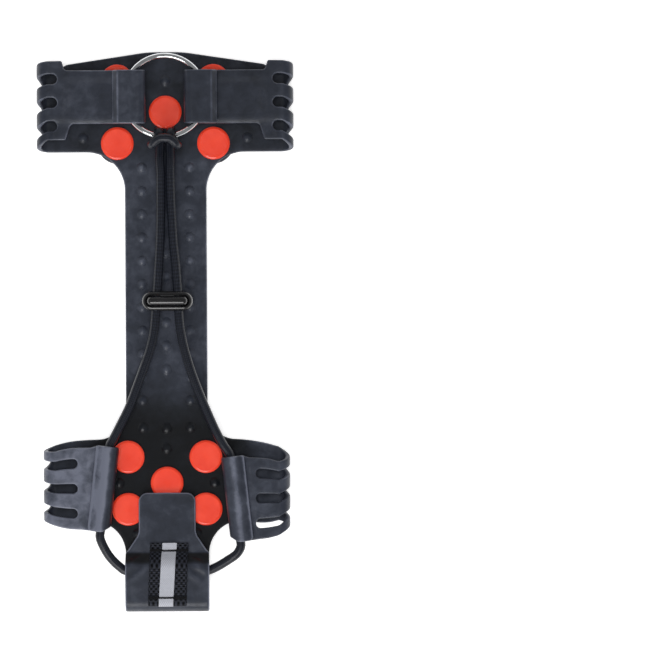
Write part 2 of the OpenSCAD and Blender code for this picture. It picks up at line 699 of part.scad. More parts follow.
// Run number i of the cord, from the end of the run before it
function run_end(i) = len([for (k = [0:i], p = cord_runs[k]) p]) - 1;
module cord_run(i) cord_between(i == 0 ? 0 : run_end(i - 1), run_end(i));

module cord_tail_left() cord_run(1);
module cord_sleeve_left() cord_run(2);
module cord_rear_left() cord_run(3);
module cord_strand_left() cord_run(4);
module cord_hitch() cord_run(5);
module cord_strand_right() cord_run(6);
module cord_rear_right() cord_run(7);
module cord_sleeve_right() cord_run(8);
module cord_tail_right() cord_run(9);
module cord_tab() {
    cord_run(0);
    cord_run(10);
}

// Ferrule over the cord's two ends
module cord_crimp() color(steel) translate([crimp_x - crimp_l / 2, joint_y, joint_z])
    rotate([0, 90, 0]) difference() {
        cylinder(h = crimp_l, d = crimp_d);
        translate([0, 0, -1]) cylinder(h = crimp_l + 2, d = cord_d + 2 * press_gap);
    }

// Webbing loop that leaves the tab behind the cord, passes under it and joins the tab again
module cord_keeper() color(cord_black) translate([-webbing_w / 2, 0, 0]) rotate([90, 0, 90])
    linear_extrude(webbing_w) polygon(concat(keeper_path, [for (i = [5:-1:0])
        keeper_path[i] + [i == 1 || i == 2 ? keeper_t / 2 : 0, keeper_t]]));

// Oblong with round ends
module oblong(w, h) {
    for (s = [-1, 1]) translate([s * (w - h) / 2, 0]) circle(d = h);
    square([w - h, h], center = true);
}

// Slot through the lock for both strands, from bottom to top heights
module cord_passage(bottom, top) translate([0, lock_d, 0]) rotate([90, 0, 0])
    linear_extrude(2 * lock_d) {
        translate([0, bottom + passage_h / 2]) oblong(passage_w, passage_h);
        translate([0, top - passage_h / 2]) oblong(passage_w, passage_h);
        translate([-passage_w / 2, bottom + passage_h / 2])
            square([passage_w, top - bottom - passage_h + press_gap]);
    }

module cord_lock_body() color(gloss_black) translate([lock_x, lock_y, 0]) difference() {
    union() {
        translate([0, 0, lock_z]) linear_extrude(lock_top - lock_z - chamfer) oblong(lock_w, lock_d);
        translate([0, 0, lock_top - chamfer]) linear_extrude(chamfer)
            oblong(lock_w - 2 * chamfer, lock_d - 2 * chamfer);
    }
    translate([0, 0, lock_z + lock_floor]) linear_extrude(lock_top)
        oblong(button_w + 2 * run_gap, button_d + 2 * run_gap);
    cord_passage(passage_z, passage_z + passage_h);
}

module cord_lock_button() color(gloss_black) translate([lock_x, lock_y, 0]) difference() {
    translate([0, 0, bridge_z]) linear_extrude(lock_top + button_proud - bridge_z)
        oblong(button_w, button_d);
    cord_passage(passage_z, passage_z + passage_h + button_travel);
}

// Pair of springs under the button
module cord_lock_spring() color(steel) translate([lock_x, lock_y, lock_z + lock_floor])
    for (s = [-1, 1]) translate([s * spring_x, 0, 0]) difference() {
        cylinder(h = spring_room, d = spring_d);
        translate([0, 0, -1]) cylinder(h = spring_room + 2, d = spring_d - 2 * spring_wall);
    }

module heel_webbing() color(cord_black)
    tab_layer(webbing_rear, webbing_front, webbing_w, strap_t, webbing_t);
module reflective_tape() color(tape_grey)
    tab_layer(webbing_rear, webbing_front, tape_w, strap_t + webbing_t, tape_t);

// Bar tacks across both ends of the webbing
module bar_tacks() color(cord_black) for (y = tack_places, s = [-1, 1])
    translate([s * (webbing_w + tape_w) / 4, y, (y < crease_high ? upper_z : pull_z) + strap_t + webbing_t])
        translate([-(webbing_w - tape_w) / 4, -tack_w / 2, 0])
            cube([(webbing_w - tape_w) / 2, tack_w, tack_t]);

sole();
tread_pad_front();
tread_pad_heel();
toe_fold_left();
toe_fold_right();
toe_strap_left();
toe_strap_right();
heel_fold_left();
heel_fold_right();
heel_wing_left();
heel_wing_right();
heel_tab_bend();
heel_tab();
for (i = [1:stud_count]) {
    stud_disc(i);
    stud_collar(i);
}
stud_pins_front();
stud_pins_heel();
carbide_tips_front();
carbide_tips_heel();
toe_ring();
cord_hitch();
cord_strand_left();
cord_strand_right();
cord_rear_left();
cord_rear_right();
cord_sleeve_left();
cord_sleeve_right();
cord_tail_left();
cord_tail_right();
cord_tab();
cord_crimp();
cord_keeper();
cord_lock_body();
cord_lock_button();
cord_lock_spring();
heel_webbing();
reflective_tape();
bar_tacks();
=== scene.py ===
"""Ice cleat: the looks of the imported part. Shapes are worked out in millimetres."""

import bmesh
import bpy
import numpy as np
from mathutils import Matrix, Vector
from mathutils.geometry import delaunay_2d_cdt


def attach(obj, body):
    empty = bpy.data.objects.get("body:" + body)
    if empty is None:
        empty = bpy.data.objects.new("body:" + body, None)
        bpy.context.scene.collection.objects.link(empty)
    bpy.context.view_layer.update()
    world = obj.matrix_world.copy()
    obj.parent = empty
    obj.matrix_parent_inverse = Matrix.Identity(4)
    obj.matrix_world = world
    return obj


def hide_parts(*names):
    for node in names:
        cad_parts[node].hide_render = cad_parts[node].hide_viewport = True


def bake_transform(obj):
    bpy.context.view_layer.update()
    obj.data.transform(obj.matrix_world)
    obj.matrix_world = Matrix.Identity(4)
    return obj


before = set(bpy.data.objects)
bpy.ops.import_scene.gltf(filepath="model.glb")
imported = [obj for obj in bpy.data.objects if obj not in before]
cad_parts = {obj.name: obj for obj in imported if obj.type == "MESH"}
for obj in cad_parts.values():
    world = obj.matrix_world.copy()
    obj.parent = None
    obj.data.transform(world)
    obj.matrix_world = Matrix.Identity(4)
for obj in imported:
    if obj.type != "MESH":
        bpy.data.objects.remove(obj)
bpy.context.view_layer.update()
MM = 0.001

# Heights
SOLE_BOTTOM, SOLE_TOP = 5.6, 9.6
SHEET = 2.4
SOLE = SOLE_TOP - SOLE_BOTTOM
FOLD_R, FOLD_Z = 3.4, 13.0
UPPER = 16.4
RIM_BOTTOM = 3.2

# Rubber sheet: fold lines, edges and the shift of each folded layer
TOE_FOLD, HEEL_FOLD, TAB_FOLD = 60.9, 58.2, 139.6
TOE_TOP, TOE_FRONT, TOE_REAR = 145.4, 134.2, 93.4
TOE_FLAT, TOE_BEND, TOE_FALL = 9.0, 51.0, 6.3
STRAP_REAR, STRAP_FRONT = 101.7, 129.5
STEP_FRONT, STEP_REAR = (53.4, 52.0), (51.6, 48.9)
WAIST = 21.2
WING_FRONT, WING_REAR = -56.0, -98.5
TAB_HALF = 21.7
TOE_SHIFT = 6.2
TOE_SLOTS, TOE_SLOT, TOE_SLOT_FROM, TOE_SLOT_OUT = (100.6, 112.8, 125.0), 5.2, 2.0, 5.0
HEEL_SLOTS, HEEL_SLOT, HEEL_SLOT_FROM, HEEL_SLOT_OUT = (-90.25, -77.25, -64.25), 5.0, 1.8, 12.0
TOE_GATHER, HEEL_GATHER = -0.07, 0.14
LEFT_SHIFT, RIGHT_SHIFT = 4.0, 9.5
SEAM = 1.5
EDGE_R = 0.8
FOLD_STEP = 0.55

# Greyness of the rubber where it lies under each heel wing; on the left it is darker than the wing above, as
# painted shade
LEFT_UNDER, RIGHT_UNDER = 0.48, 0.66

# Studs, in two groups of five: the middle one's place, and the corners' way from it
FRONT_Y, HEEL_Y = 114.2, -78.7
STUDS = [(i * x, y + j * away) for x, y, away in ((25, FRONT_Y, 16.3), (20.2, HEEL_Y, 13.6))
         for i, j in ((-1, 1), (1, 1), (0, 0), (-1, -1), (1, -1))]

# Ring and strap loops
RING_Y, RING_Z, RING_R, WIRE_R = 122.1, 20.45, 21.0, 1.35
LOOP_X, LOOP_R = 14.05, 4.05
FLAP_EDGE = 27.5

# Elastic cord: the route of the part's source, from its joint in the tab and back to it
CORD_R = 2.35
IN_TAB = [(14.8, -124.3, 13.2), (9, -124.3, 13.2), (0, -124.3, 13.2), (-9, -124.3, 13.2),
          (-20.5, -124.3, 13.2)]
TAIL_LEFT = [(-25, -121.8, 13.6), (-30, -116.6, 14.6), (-33.4, -110.6, 16.2),
             (-34.8, -106.4, 17), (-34.4, -102.5, 17.2)]
SLEEVE_LEFT = [(-33.4, -93.5, 17.2), (-32.1, -81.7, 17.2), (-30.8, -70, 17.2), (-29.7, -60, 17.2)]
REAR_LEFT = [(-27.6, -55.5, 17.2), (-23.7, -48, 17.6), (-19, -38.5, 18.2), (-15, -28, 18.7),
             (-11.3, -18, 19.1), (-8.2, -9, 19.3), (-6.2, 0, 19.4)]
STRAND_LEFT = [(-5.2, 10, 19.4), (-4.3, 22, 19.4), (-3.5, 34, 19.4), (-2.8, 46, 19.4),
               (-2.4, 58, 19.4), (-2.3, 70, 19.4), (-2.3, 82, 19.4)]
HITCH_LEFT = [(-2.8, 89, 18.4), (-2.7, 94, 16.8), (-2.6, 98, 16), (-2.7, 101.5, 15.9),
              (-2.8, 104.4, 17.3), (-2.9, 105.6, 20.2), (-2.9, 104.8, 23.1), (-2.9, 102.6, 24.8),
              (-3.3, 100.5, 24.6), (-4.4, 98.8, 23.9), (-5.9, 97.3, 24.6), (-6.5, 96.7, 26.6),
              (-5.9, 97.3, 28.6), (-4.4, 98.7, 29.5), (-2.2, 99.9, 29.8)]
HITCH_RIGHT = [(-x, y, z) for x, y, z in reversed(HITCH_LEFT)] + [(2.65, 82, 19.4)]
STRAND_RIGHT = [(2.85, 70, 19.4), (3.4, 58, 19.4), (4.1, 46, 19.4), (5.3, 34, 19.4),
                (6.1, 22, 19.4), (6.7, 10, 19.4), (7.7, 0, 19.4)]
REAR_RIGHT = [(9.8, -10, 19.3), (12.9, -20.5, 19), (16.7, -31, 18.5), (20.8, -41, 18),
              (25.2, -51, 17.6), (29.2, -58.6, 17.3), (31.7, -62.2, 17.2), (33.2, -65.8, 17.2)]
SLEEVE_RIGHT = [(34.4, -75.5, 17.2), (35.7, -87, 17.2), (37, -98.7, 17.2), (38, -108, 17.2)]
TAIL_RIGHT = [(38.2, -111.8, 17), (36, -115.6, 16.2), (31.2, -119, 14.8), (25.5, -122.4, 13.6),
              (20.5, -124.3, 13.2)]
TO_JOINT = [(15.2, -124.3, 13.2)]


# Colours and nodes

def linear(code):
    """sRGB hex to linear colour: c / 12.92 up to 0.04045, else ((c + 0.055) / 1.055) ^ 2.4."""
    c = np.array([int(code[i:i + 2], 16) for i in (1, 3, 5)]) / 255
    return (*np.where(c <= 0.04045, c / 12.92, ((c + 0.055) / 1.055) ** 2.4), 1.0)


def node(material, kind, inputs=(), stops=(), **settings):
    """Adds a node with its settings and, on a ramp, its (place, colour) stops; an input that is a
    socket is linked, any other is set."""
    made = material.node_tree.nodes.new(kind)
    for name, value in settings.items():
        setattr(made, name, value)
    if stops:
        row = made.color_ramp.elements
        for element, (place, code) in zip(row, (stops[0], stops[-1])):
            element.position, element.color = place, linear(code)
        for place, code in stops[1:-1]:
            row.new(place).color = linear(code)
    for name, value in dict(inputs).items():
        if isinstance(value, bpy.types.NodeSocket):
            material.node_tree.links.new(value, made.inputs[name])
        else:
            made.inputs[name].default_value = value
    return made


def finish_of(name, **sockets):
    """New material and its shader, with the sockets that are the same all over."""
    made = bpy.data.materials.new(name)
    made.use_nodes = True
    shader = made.node_tree.nodes["Principled BSDF"]
    for socket, value in sockets.items():
        shader.inputs[socket.replace("_", " ")].default_value = value
    return made, shader


def link(material, output, socket):
    """Joins a node's output to a socket."""
    material.node_tree.links.new(output, socket)


def moulded_rubber(name, stops, gloss):
    """Moulded rubber: matte, with a blotchy bloom, a fine grain and slightly polished spots. The greyness
    attribute at each point, from 0, darkest, to 1, palest, holds the bloom together with painted light and
    shade."""
    blotch_mm, cloud_mm, grain_mm, unevenness = 5, 12, 0.7, 0.46
    m, shader = finish_of(name, IOR=1.5, Specular_IOR_Level=0.36)
    place = node(m, "ShaderNodeTexCoord").outputs["Object"]
    blotch = node(m, "ShaderNodeTexNoise", {"Vector": place, "Scale": 1 / (blotch_mm * MM), "Detail": 5.0,
                                            "Roughness": 0.62, "Distortion": 0.4})
    cloud = node(m, "ShaderNodeTexNoise", {"Vector": place, "Scale": 1 / (cloud_mm * MM), "Detail": 3.0})
    both = node(m, "ShaderNodeMath", {0: blotch.outputs["Fac"], 1: cloud.outputs["Fac"]},
                operation="ADD")
    # Greyness per point: bloom together with painted light and shade
    bloom_and_painted_light = node(m, "ShaderNodeAttribute", attribute_name="bloom_and_painted_light")
    grey = node(m, "ShaderNodeMath", {0: both.outputs[0], 1: unevenness, 2: -unevenness},
                operation="MULTIPLY_ADD")
    shade = node(m, "ShaderNodeMath", {0: bloom_and_painted_light.outputs["Fac"], 1: grey.outputs[0]}, operation="ADD")
    colour = node(m, "ShaderNodeValToRGB", {"Fac": shade.outputs[0]}, stops)
    link(m, colour.outputs["Color"], shader.inputs["Base Color"])
    rough = node(m, "ShaderNodeMapRange", {"Value": blotch.outputs["Fac"], "From Min": 0.3,
                                           "From Max": 0.7, "To Min": gloss + 0.14, "To Max": gloss})
    link(m, rough.outputs["Result"], shader.inputs["Roughness"])
    grain = node(m, "ShaderNodeTexNoise", {"Vector": place, "Scale": 1 / (grain_mm * MM), "Detail": 3.0})
    swell = node(m, "ShaderNodeBump", {"Height": blotch.outputs["Fac"], "Strength": 0.35,
                                       "Distance": 0.35 * MM})
    bump = node(m, "ShaderNodeBump", {"Height": grain.outputs["Fac"], "Strength": 0.3,
                                      "Distance": 0.08 * MM, "Normal": swell.outputs["Normal"]})
    link(m, bump.outputs["Normal"], shader.inputs["Normal"])
    return m


def moulded_plastic(name, low, high, roughness, gloss, coat=0.0):
    """Moulded plastic: even colour with faint flow clouds and the fine grain of its tool."""
    flow_mm, grain_mm = 9, 0.5
    m, shader = finish_of(name, IOR=1.49, Roughness=roughness, Specular_IOR_Level=gloss,
                          Coat_Weight=coat, Coat_Roughness=0.12)
    place = node(m, "ShaderNodeTexCoord").outputs["Object"]
    flow = node(m, "ShaderNodeTexNoise", {"Vector": place, "Scale": 1 / (flow_mm * MM), "Detail": 3.0})
    colour = node(m, "ShaderNodeValToRGB", {"Fac": flow.outputs["Fac"]}, [(0.35, low), (0.65, high)])
    link(m, colour.outputs["Color"], shader.inputs["Base Color"])
    grain = node(m, "ShaderNodeTexNoise", {"Vector": place, "Scale": 1 / (grain_mm * MM), "Detail": 2.0})
    bump = node(m, "ShaderNodeBump", {"Height": grain.outputs["Fac"], "Strength": 0.18,
                                      "Distance": 0.04 * MM})
    link(m, bump.outputs["Normal"], shader.inputs["Normal"])
    return m


def worn_metal(name, low, high, roughness, scuff_mm):
    """Metal with fine scuffs: colour and gloss change with noise of the scuffs' size."""
    m, shader = finish_of(name, Metallic=1.0)
    place = node(m, "ShaderNodeTexCoord").outputs["Object"]
    scuff_and_highlight = node(m, "ShaderNodeTexNoise", {"Vector": place, "Scale": 1 / (scuff_mm * MM),
                                           "Detail": 5.0, "Roughness": 0.7})
    colour = node(m, "ShaderNodeValToRGB", {"Fac": scuff_and_highlight.outputs["Fac"]}, [(0.35, low), (0.65, high)])
    link(m, colour.outputs["Color"], shader.inputs["Base Color"])
    rough = node(m, "ShaderNodeMapRange", {"Value": scuff_and_highlight.outputs["Fac"], "From Min": 0.3,
                                           "From Max": 0.7, "To Min": roughness * 1.5,
                                           "To Max": roughness * 0.7})
    link(m, rough.outputs["Result"], shader.inputs["Roughness"])
    bump = node(m, "ShaderNodeBump", {"Height": scuff_and_highlight.outputs["Fac"], "Strength": 0.15,
                                      "Distance": 0.03 * MM})
    link(m, bump.outputs["Normal"], shader.inputs["Normal"])
    return m


def woven(name, dark, pale, across_mm, along_mm, depth_mm, crossing, roughness, gloss):
    """Woven or braided yarn on the UV map, which is in millimetres: sin(a) sin(b), where a and b
    are the phases along the two yarns, with some fuzz."""
    fuzz_mm = 0.9
    m, shader = finish_of(name, IOR=1.5, Roughness=roughness, Specular_IOR_Level=gloss)
    uv = node(m, "ShaderNodeUVMap").outputs["UV"]
    phases = []
    for x, y in crossing:
        turns = (2 * np.pi * x / across_mm, 2 * np.pi * y / along_mm, 0)
        dot = node(m, "ShaderNodeVectorMath", {0: uv, 1: turns}, operation="DOT_PRODUCT")
        phases.append(node(m, "ShaderNodeMath", {0: dot.outputs["Value"]}, operation="SINE"))
    yarn = node(m, "ShaderNodeMath", {0: phases[0].outputs[0], 1: phases[1].outputs[0]},
                operation="MULTIPLY")
    place = node(m, "ShaderNodeTexCoord").outputs["Object"]
    fuzz = node(m, "ShaderNodeTexNoise", {"Vector": place, "Scale": 1 / (fuzz_mm * MM), "Detail": 4.0})
    mixed = node(m, "ShaderNodeMath", {0: yarn.outputs[0], 1: fuzz.outputs["Fac"]}, operation="ADD")
    shade = node(m, "ShaderNodeMapRange", {"Value": mixed.outputs[0], "From Min": -0.7,
                                           "From Max": 1.7})
    colour = node(m, "ShaderNodeValToRGB", {"Fac": shade.outputs["Result"]},
                  [(0.2, dark), (0.9, pale)])
    link(m, colour.outputs["Color"], shader.inputs["Base Color"])
    bump = node(m, "ShaderNodeBump", {"Height": shade.outputs["Result"], "Strength": 0.8,
                                      "Distance": depth_mm * MM})
    link(m, bump.outputs["Normal"], shader.inputs["Normal"])
    return m


BRAIDED, PLAIN = ((1, 1), (1, -1)), ((1, 0), (0, 1))
# Moulded natural rubber: matte blue-black, with a grey blotchy bloom where it was handled, and painted light
# and shade in its greyness per point
RUBBER = moulded_rubber("moulded_rubber", [(0.0, "#0a0c10"), (0.3, "#191c22"), (0.6, "#2c303a"),
                                           (0.8, "#40444f"), (1.0, "#666a78")], gloss=0.3)
# Harder tread rubber: nearly black and a little smoother
TREAD = moulded_rubber("tread_rubber", [(0.0, "#131417"), (0.5, "#2a2b2f")], gloss=0.3)
# Injection-moulded polyamide discs: red-orange, satin
DISC = moulded_plastic("red_polyamide", "#ea3c24", "#f3472e", roughness=0.36, gloss=0.25, coat=0.6)
# Injection-moulded polyamide collars: orange, satin
COLLAR = moulded_plastic("orange_polyamide", "#fb7433", "#ff8846", roughness=0.42, gloss=0.3)
# Acetal of the cord lock: black and glossy
ACETAL = moulded_plastic("black_acetal", "#0c0c0e", "#141417", roughness=0.2, gloss=0.5, coat=0.6)
# Zinc-plated steel pins: bright, with fine scuffs
PIN = worn_metal("plated_steel", "#b9bdc2", "#e2e4e6", roughness=0.22, scuff_mm=0.8)
# Tungsten carbide tips: dull grey
CARBIDE = worn_metal("tungsten_carbide", "#6a6e73", "#8d9196", roughness=0.4, scuff_mm=0.5)
# Chromed round wire: mirror bright
CHROME = worn_metal("chromed_wire", "#d0d3d6", "#e6e8ea", roughness=0.07, scuff_mm=3.0)
# Drawn steel of the crimp and the springs
STEEL = worn_metal("drawn_steel", "#8f9398", "#b9bdc1", roughness=0.3, scuff_mm=1.0)
# Braided polyester over elastic: yarns cross every 0.9 mm, drawn coarser so that they show
BRAID = woven("braided_cord", "#0a0c11", "#242833", np.pi * CORD_R / 4, 1.8, depth_mm=0.08,
              crossing=BRAIDED, roughness=0.32, gloss=0.35)
# Woven nylon: black, with rows of paler floats every 1.4 mm
WEBBING = woven("woven_nylon", "#030304", "#33363f", 1.9, 2.8, depth_mm=0.3,
                crossing=PLAIN, roughness=0.5, gloss=0.12)
# Retroreflective tape: silver-grey fabric with tiny glass beads
TAPE = woven("reflective_fabric", "#9a9ca5", "#bcbec6", 0.9, 0.9, depth_mm=0.05,
             crossing=PLAIN, roughness=0.4, gloss=0.3)
# Polyester thread of the bar tacks
THREAD = woven("sewing_thread", "#050506", "#1d1e22", 0.6, 0.6, depth_mm=0.12,
               crossing=PLAIN, roughness=0.55, gloss=0.2)


# Surfaces

def smooth(x):
    """Smooth step: 3 x^2 - 2 x^3 between 0 and 1."""
    x = np.clip(x, 0, 1)
    return x * x * (3 - 2 * x)


def grid(points, wrap=False, ends=False, size=(1.0, 1.0)):
    """Quads between neighbours of an (m, n, 3) array. Wrap joins the last column to the first,
    ends closes the first and last row with a fan, and size is the UV extent, along and across."""
    m, n = points.shape[:2]
    index = np.arange(m * n).reshape(m, n)
    col = np.arange(n if wrap else n - 1)
    nxt = (col + 1) % n
    faces = np.stack([index[:-1][:, col], index[:-1][:, nxt], index[1:][:, nxt], index[1:][:, col]],
                     -1).reshape(-1, 4).tolist()
    across = size[1] * np.stack([col, col + 1, col + 1, col], -1) / (n if wrap else n - 1)
    along = size[0] * np.stack([[i, i, i + 1, i + 1] for i in range(m - 1)]) / (m - 1)
    uv = np.stack(np.broadcast_arrays(across[None], along[:, None]), -1).reshape(-1, 2)
    flat = points.reshape(-1, 3)
    if ends:
        for row, turn in ((index[0], 1), (index[-1], -1)):
            middle = len(flat)
            flat = np.vstack([flat, flat[row].mean(0)])
            fan = [[middle, *pair[::turn]] for pair in zip(np.roll(row, -1).tolist(), row.tolist())]
            faces += fan
            uv = np.vstack([uv, np.zeros((3 * len(fan), 2))])
    return flat, faces, uv


def piece(name, parts, finish, body=None, sharp=40, weld=True, bloom_and_painted_light=None):
    """Mesh object of several (points, faces, uv) parts, in metres, closed and facing outwards. The rubber's
    greyness at each point, or one value for all, holds bloom together with painted light and shade."""
    points, faces, uvs, start = [], [], [], 0
    for p, f, uv in parts:
        points.append(p)
        faces += [[i + start for i in face] for face in f]
        uvs.append(uv)
        start += len(p)
    mesh = bpy.data.meshes.new(name)
    mesh.from_pydata((np.vstack(points) * MM).tolist(), [], faces)
    if all(uv is not None for uv in uvs):
        mesh.uv_layers.new(name="UVMap").data.foreach_set("uv", np.vstack(uvs).ravel())
    if bloom_and_painted_light is not None:
        grey = np.broadcast_to(np.asarray(bloom_and_painted_light, np.float32), start)
        mesh.attributes.new("bloom_and_painted_light", "FLOAT", "POINT").data.foreach_set("value", np.ascontiguousarray(grey))
    work = bmesh.new()
    work.from_mesh(mesh)
    if weld:
        bmesh.ops.remove_doubles(work, verts=work.verts, dist=2e-6)
    bmesh.ops.recalc_face_normals(work, faces=work.faces)
    work.to_mesh(mesh)
    work.free()
    mesh.shade_smooth()
    mesh.set_sharp_from_angle(angle=np.radians(sharp))
    mesh.materials.append(finish)
    made = bpy.data.objects.new(name, mesh)
    bpy.context.scene.collection.objects.link(made)
    if body:
        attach(made, body)
    return made


def rounded(corners, step=1.2):
    """Closed outline through corners (x, y, radius). A corner's arc touches both edges, its middle
    is radius / sin(half angle) along their bisector, and long edges are cut to step."""
    p = np.array([c[:2] for c in corners], float)
    points = []
    for i, (_, _, r) in enumerate(corners):
        a, b, c = p[i - 1], p[i], p[(i + 1) % len(p)]
        if r == 0:
            points.append(b[None])
            continue
        u, v = (a - b) / np.linalg.norm(a - b), (c - b) / np.linalg.norm(c - b)
        half = np.arccos(np.clip(u @ v, -1, 1)) / 2
        middle = b + (u + v) / np.linalg.norm(u + v) * r / np.sin(half)
        one, two = b + u * r / np.tan(half) - middle, b + v * r / np.tan(half) - middle
        first = np.arctan2(one[1], one[0])
        turn = (np.arctan2(two[1], two[0]) - first + np.pi) % (2 * np.pi) - np.pi
        count = max(4, int(np.ceil(abs(turn) * max(r / 0.8, 4))))
        angle = first + turn * np.linspace(0, 1, min(count, 24) + 1)
        points.append(middle + r * np.stack([np.cos(angle), np.sin(angle)], -1))
    p = np.vstack(points)
    p = p[np.linalg.norm(p - np.roll(p, 1, 0), axis=1) > 0.01]
    ahead = np.roll(p, -1, 0)
    cuts = np.maximum(1, np.ceil(np.linalg.norm(ahead - p, axis=1) / step)).astype(int)
    return np.vstack([a + (b - a) * (np.arange(n) / n)[:, None] for a, b, n in zip(p, ahead, cuts)])


def around(count):
    """Even angles round a full turn."""
    return np.linspace(0, 2 * np.pi, count, endpoint=False)


def circle(count):
    """Points of a circle of radius 1."""
    angle = around(count)
    return np.stack([np.cos(angle), np.sin(angle)], -1)


def signed_area(p):
    """Area of a loop: half the sum of x y' - x' y over its edges, above 0 if it runs anticlockwise."""
    q = np.roll(p, -1, 0)
    return np.sum(p[:, 0] * q[:, 1] - q[:, 0] * p[:, 1]) / 2


def inside(points, loops):
    """Even-odd test: counts the edges of all loops that a ray along +x crosses."""
    odd = np.zeros(len(points), bool)
    for loop in loops:
        for a, b in zip(loop, np.roll(loop, -1, 0)):
            if a[1] != b[1]:
                meets = a[0] + (points[:, 1] - a[1]) * (b[0] - a[0]) / (b[1] - a[1])
                odd ^= ((a[1] > points[:, 1]) != (b[1] > points[:, 1])) & (points[:, 0] < meets)
    return odd


def inward(loop, on_seam):
    """Offset of each outline point for one unit of inset. It is the mitre of its two edges, and
    runs along a seam where one edge lies on it, so that a seam keeps its place."""
    ahead = np.roll(loop, -1, 0) - loop
    along = ahead / np.linalg.norm(ahead, axis=1)[:, None]
    normal = np.stack([-along[:, 1], along[:, 0]], -1)
    flat = on_seam(loop) & on_seam(np.roll(loop, -1, 0))
    before_flat, before_n, before_t = np.roll(flat, 1), np.roll(normal, 1, 0), np.roll(along, 1, 0)
    mitre = (before_n + normal) / (1 + np.sum(before_n * normal, 1)).clip(0.3)[:, None]
    leave = along / np.sum(along * before_n, 1)[:, None].clip(0.2)
    arrive = -before_t / np.sum(-before_t * normal, 1)[:, None].clip(0.2)
    return np.where((flat & before_flat)[:, None], 0, np.where(flat[:, None], leave, np.where(
        before_flat[:, None], arrive, mitre)))


SPOT_RINGS, SPOT_CLEAR, SPOT_SIDES, RIM_CLEAR = (0.7, 1.4, 2.1, 2.8, 3.4), 3.9, 14, 0.55


def plate(loops, lines, spots=(), on_seam=lambda p: np.zeros(len(p), bool), edge=EDGE_R, rounds=5):
    """Closed sheet drawn flat, whose outline and holes are loops. Towards each face a loop comes in
    by edge (1 - cos a) and up to edge (1 - sin a) below the face, which rounds the rim. Lines are
    the x and y places of the faces' points, and spots get rings of points. Returns the places, the
    drop below the face, the side (0 inner, 1 outer) and the faces."""
    loops = [p if (signed_area(p) > 0) == (i == 0) else p[::-1] for i, p in enumerate(loops)]
    a = np.radians(np.linspace(0, 90, rounds))
    inset, drop = edge * (1 - np.cos(a)), edge * (1 - np.sin(a))
    rings = [p + inward(p, on_seam) * inset[:, None, None] for p in loops]
    x, y = np.meshgrid(*lines, indexing="ij")
    loose = np.stack([x.ravel(), y.ravel()], -1)
    border = np.vstack([r[-1] for r in rings])
    if len(spots):
        centre = np.array(spots, float)
        away = np.linalg.norm(loose[:, None] - centre, axis=2).min(1)
        round_it = circle(SPOT_SIDES)
        rounds_of = [c + r * round_it for c in centre for r in SPOT_RINGS]
        loose = np.vstack([loose[away > SPOT_CLEAR], *rounds_of, centre])
    near = np.concatenate([np.linalg.norm(part[:, None] - border, axis=2).min(1)
                           for part in np.array_split(loose, 40)])
    loose = loose[(near > RIM_CLEAR) & inside(loose, [r[-1] for r in rings])]
    edges, start = [], 0
    for r in rings:
        n = len(r[-1])
        edges += [(start + i, start + (i + 1) % n) for i in range(n)]
        start += n
    every = [Vector(p) for p in np.vstack([border, loose])]
    filled = delaunay_2d_cdt(every, edges, [], 0, 1e-5, False)
    places, fill = np.array([tuple(p) for p in filled[0]]), np.array([list(f) for f in filled[2]])
    fill = fill[inside(places[fill].mean(1), [r[-1] for r in rings])].tolist()
    flat, below, side, faces, start = [], [], [], [], 0
    for which in (0, 1):
        flat.append(places)
        below.append(np.zeros(len(places)))
        side.append(np.full(len(places), which))
        faces += [[i + start for i in f[::1 - 2 * which]] for f in fill]
        start += len(places)
    for r in rings:
        n = r.shape[1]
        index = start + np.arange(2 * rounds * n).reshape(2 * rounds, n)
        order = np.vstack([r[::-1], r])
        flat.append(order.reshape(-1, 2))
        below.append(np.repeat(np.concatenate([drop[::-1], drop]), n))
        side.append(np.repeat([0] * rounds + [1] * rounds, n))
        nxt = np.roll(index, -1, 1)
        faces += np.stack([index[:-1], nxt[:-1], nxt[1:], index[1:]], -1).reshape(-1, 4).tolist()
        start += 2 * rounds * n
    return np.vstack(flat), np.concatenate(below), np.concatenate(side), faces


def line(a, b, step=0.1):
    """Even points from a to b."""
    count = int(np.linalg.norm(np.subtract(b, a)) / step) + 2
    return np.linspace(a, b, count)


def arc(centre, r, first, last, step=0.05):
    """Even points of a circle's arc between two angles in degrees."""
    angle = np.radians(np.linspace(first, last, int(abs(last - first) * np.pi / 180 * r / step) + 2))
    return np.asarray(centre) + r * np.stack([np.cos(angle), np.sin(angle)], -1)


class Fold:
    """Section of a folded sheet: the line of its inner face, read by length along it. A point at
    a depth lies that far out along the line's right-hand normal."""

    def __init__(self, *parts):
        p = np.vstack(parts)
        p = p[np.concatenate([[True], np.linalg.norm(np.diff(p, axis=0), axis=1) > 1e-6])]
        self.p, self.s = p, np.concatenate([[0], np.cumsum(np.linalg.norm(np.diff(p, axis=0), axis=1))])
        t = np.gradient(p, self.s, axis=0)
        self.t = t / np.linalg.norm(t, axis=1)[:, None]
        self.length = self.s[-1]

    def at(self, s, depth):
        """Place at length s and a depth: p + depth (tz, -tx), with t the line's direction there."""
        x, z = (np.interp(s, self.s, self.p[:, i]) for i in (0, 1))
        tx, tz = (np.interp(s, self.s, self.t[:, i]) for i in (0, 1))
        return x + depth * tz, z - depth * tx


def at_line(values, line_at=0.0):
    """Tells which values lie on a straight line of the drawing."""
    return np.abs(values - line_at) < 1e-6


def spaced(*stops):
    """Places from (start, end, step) stretches, each end shared with the next start."""
    return np.unique(np.concatenate([np.linspace(a, b, int(round((b - a) / s)) + 1)
                                     for a, b, s in stops]).round(4))


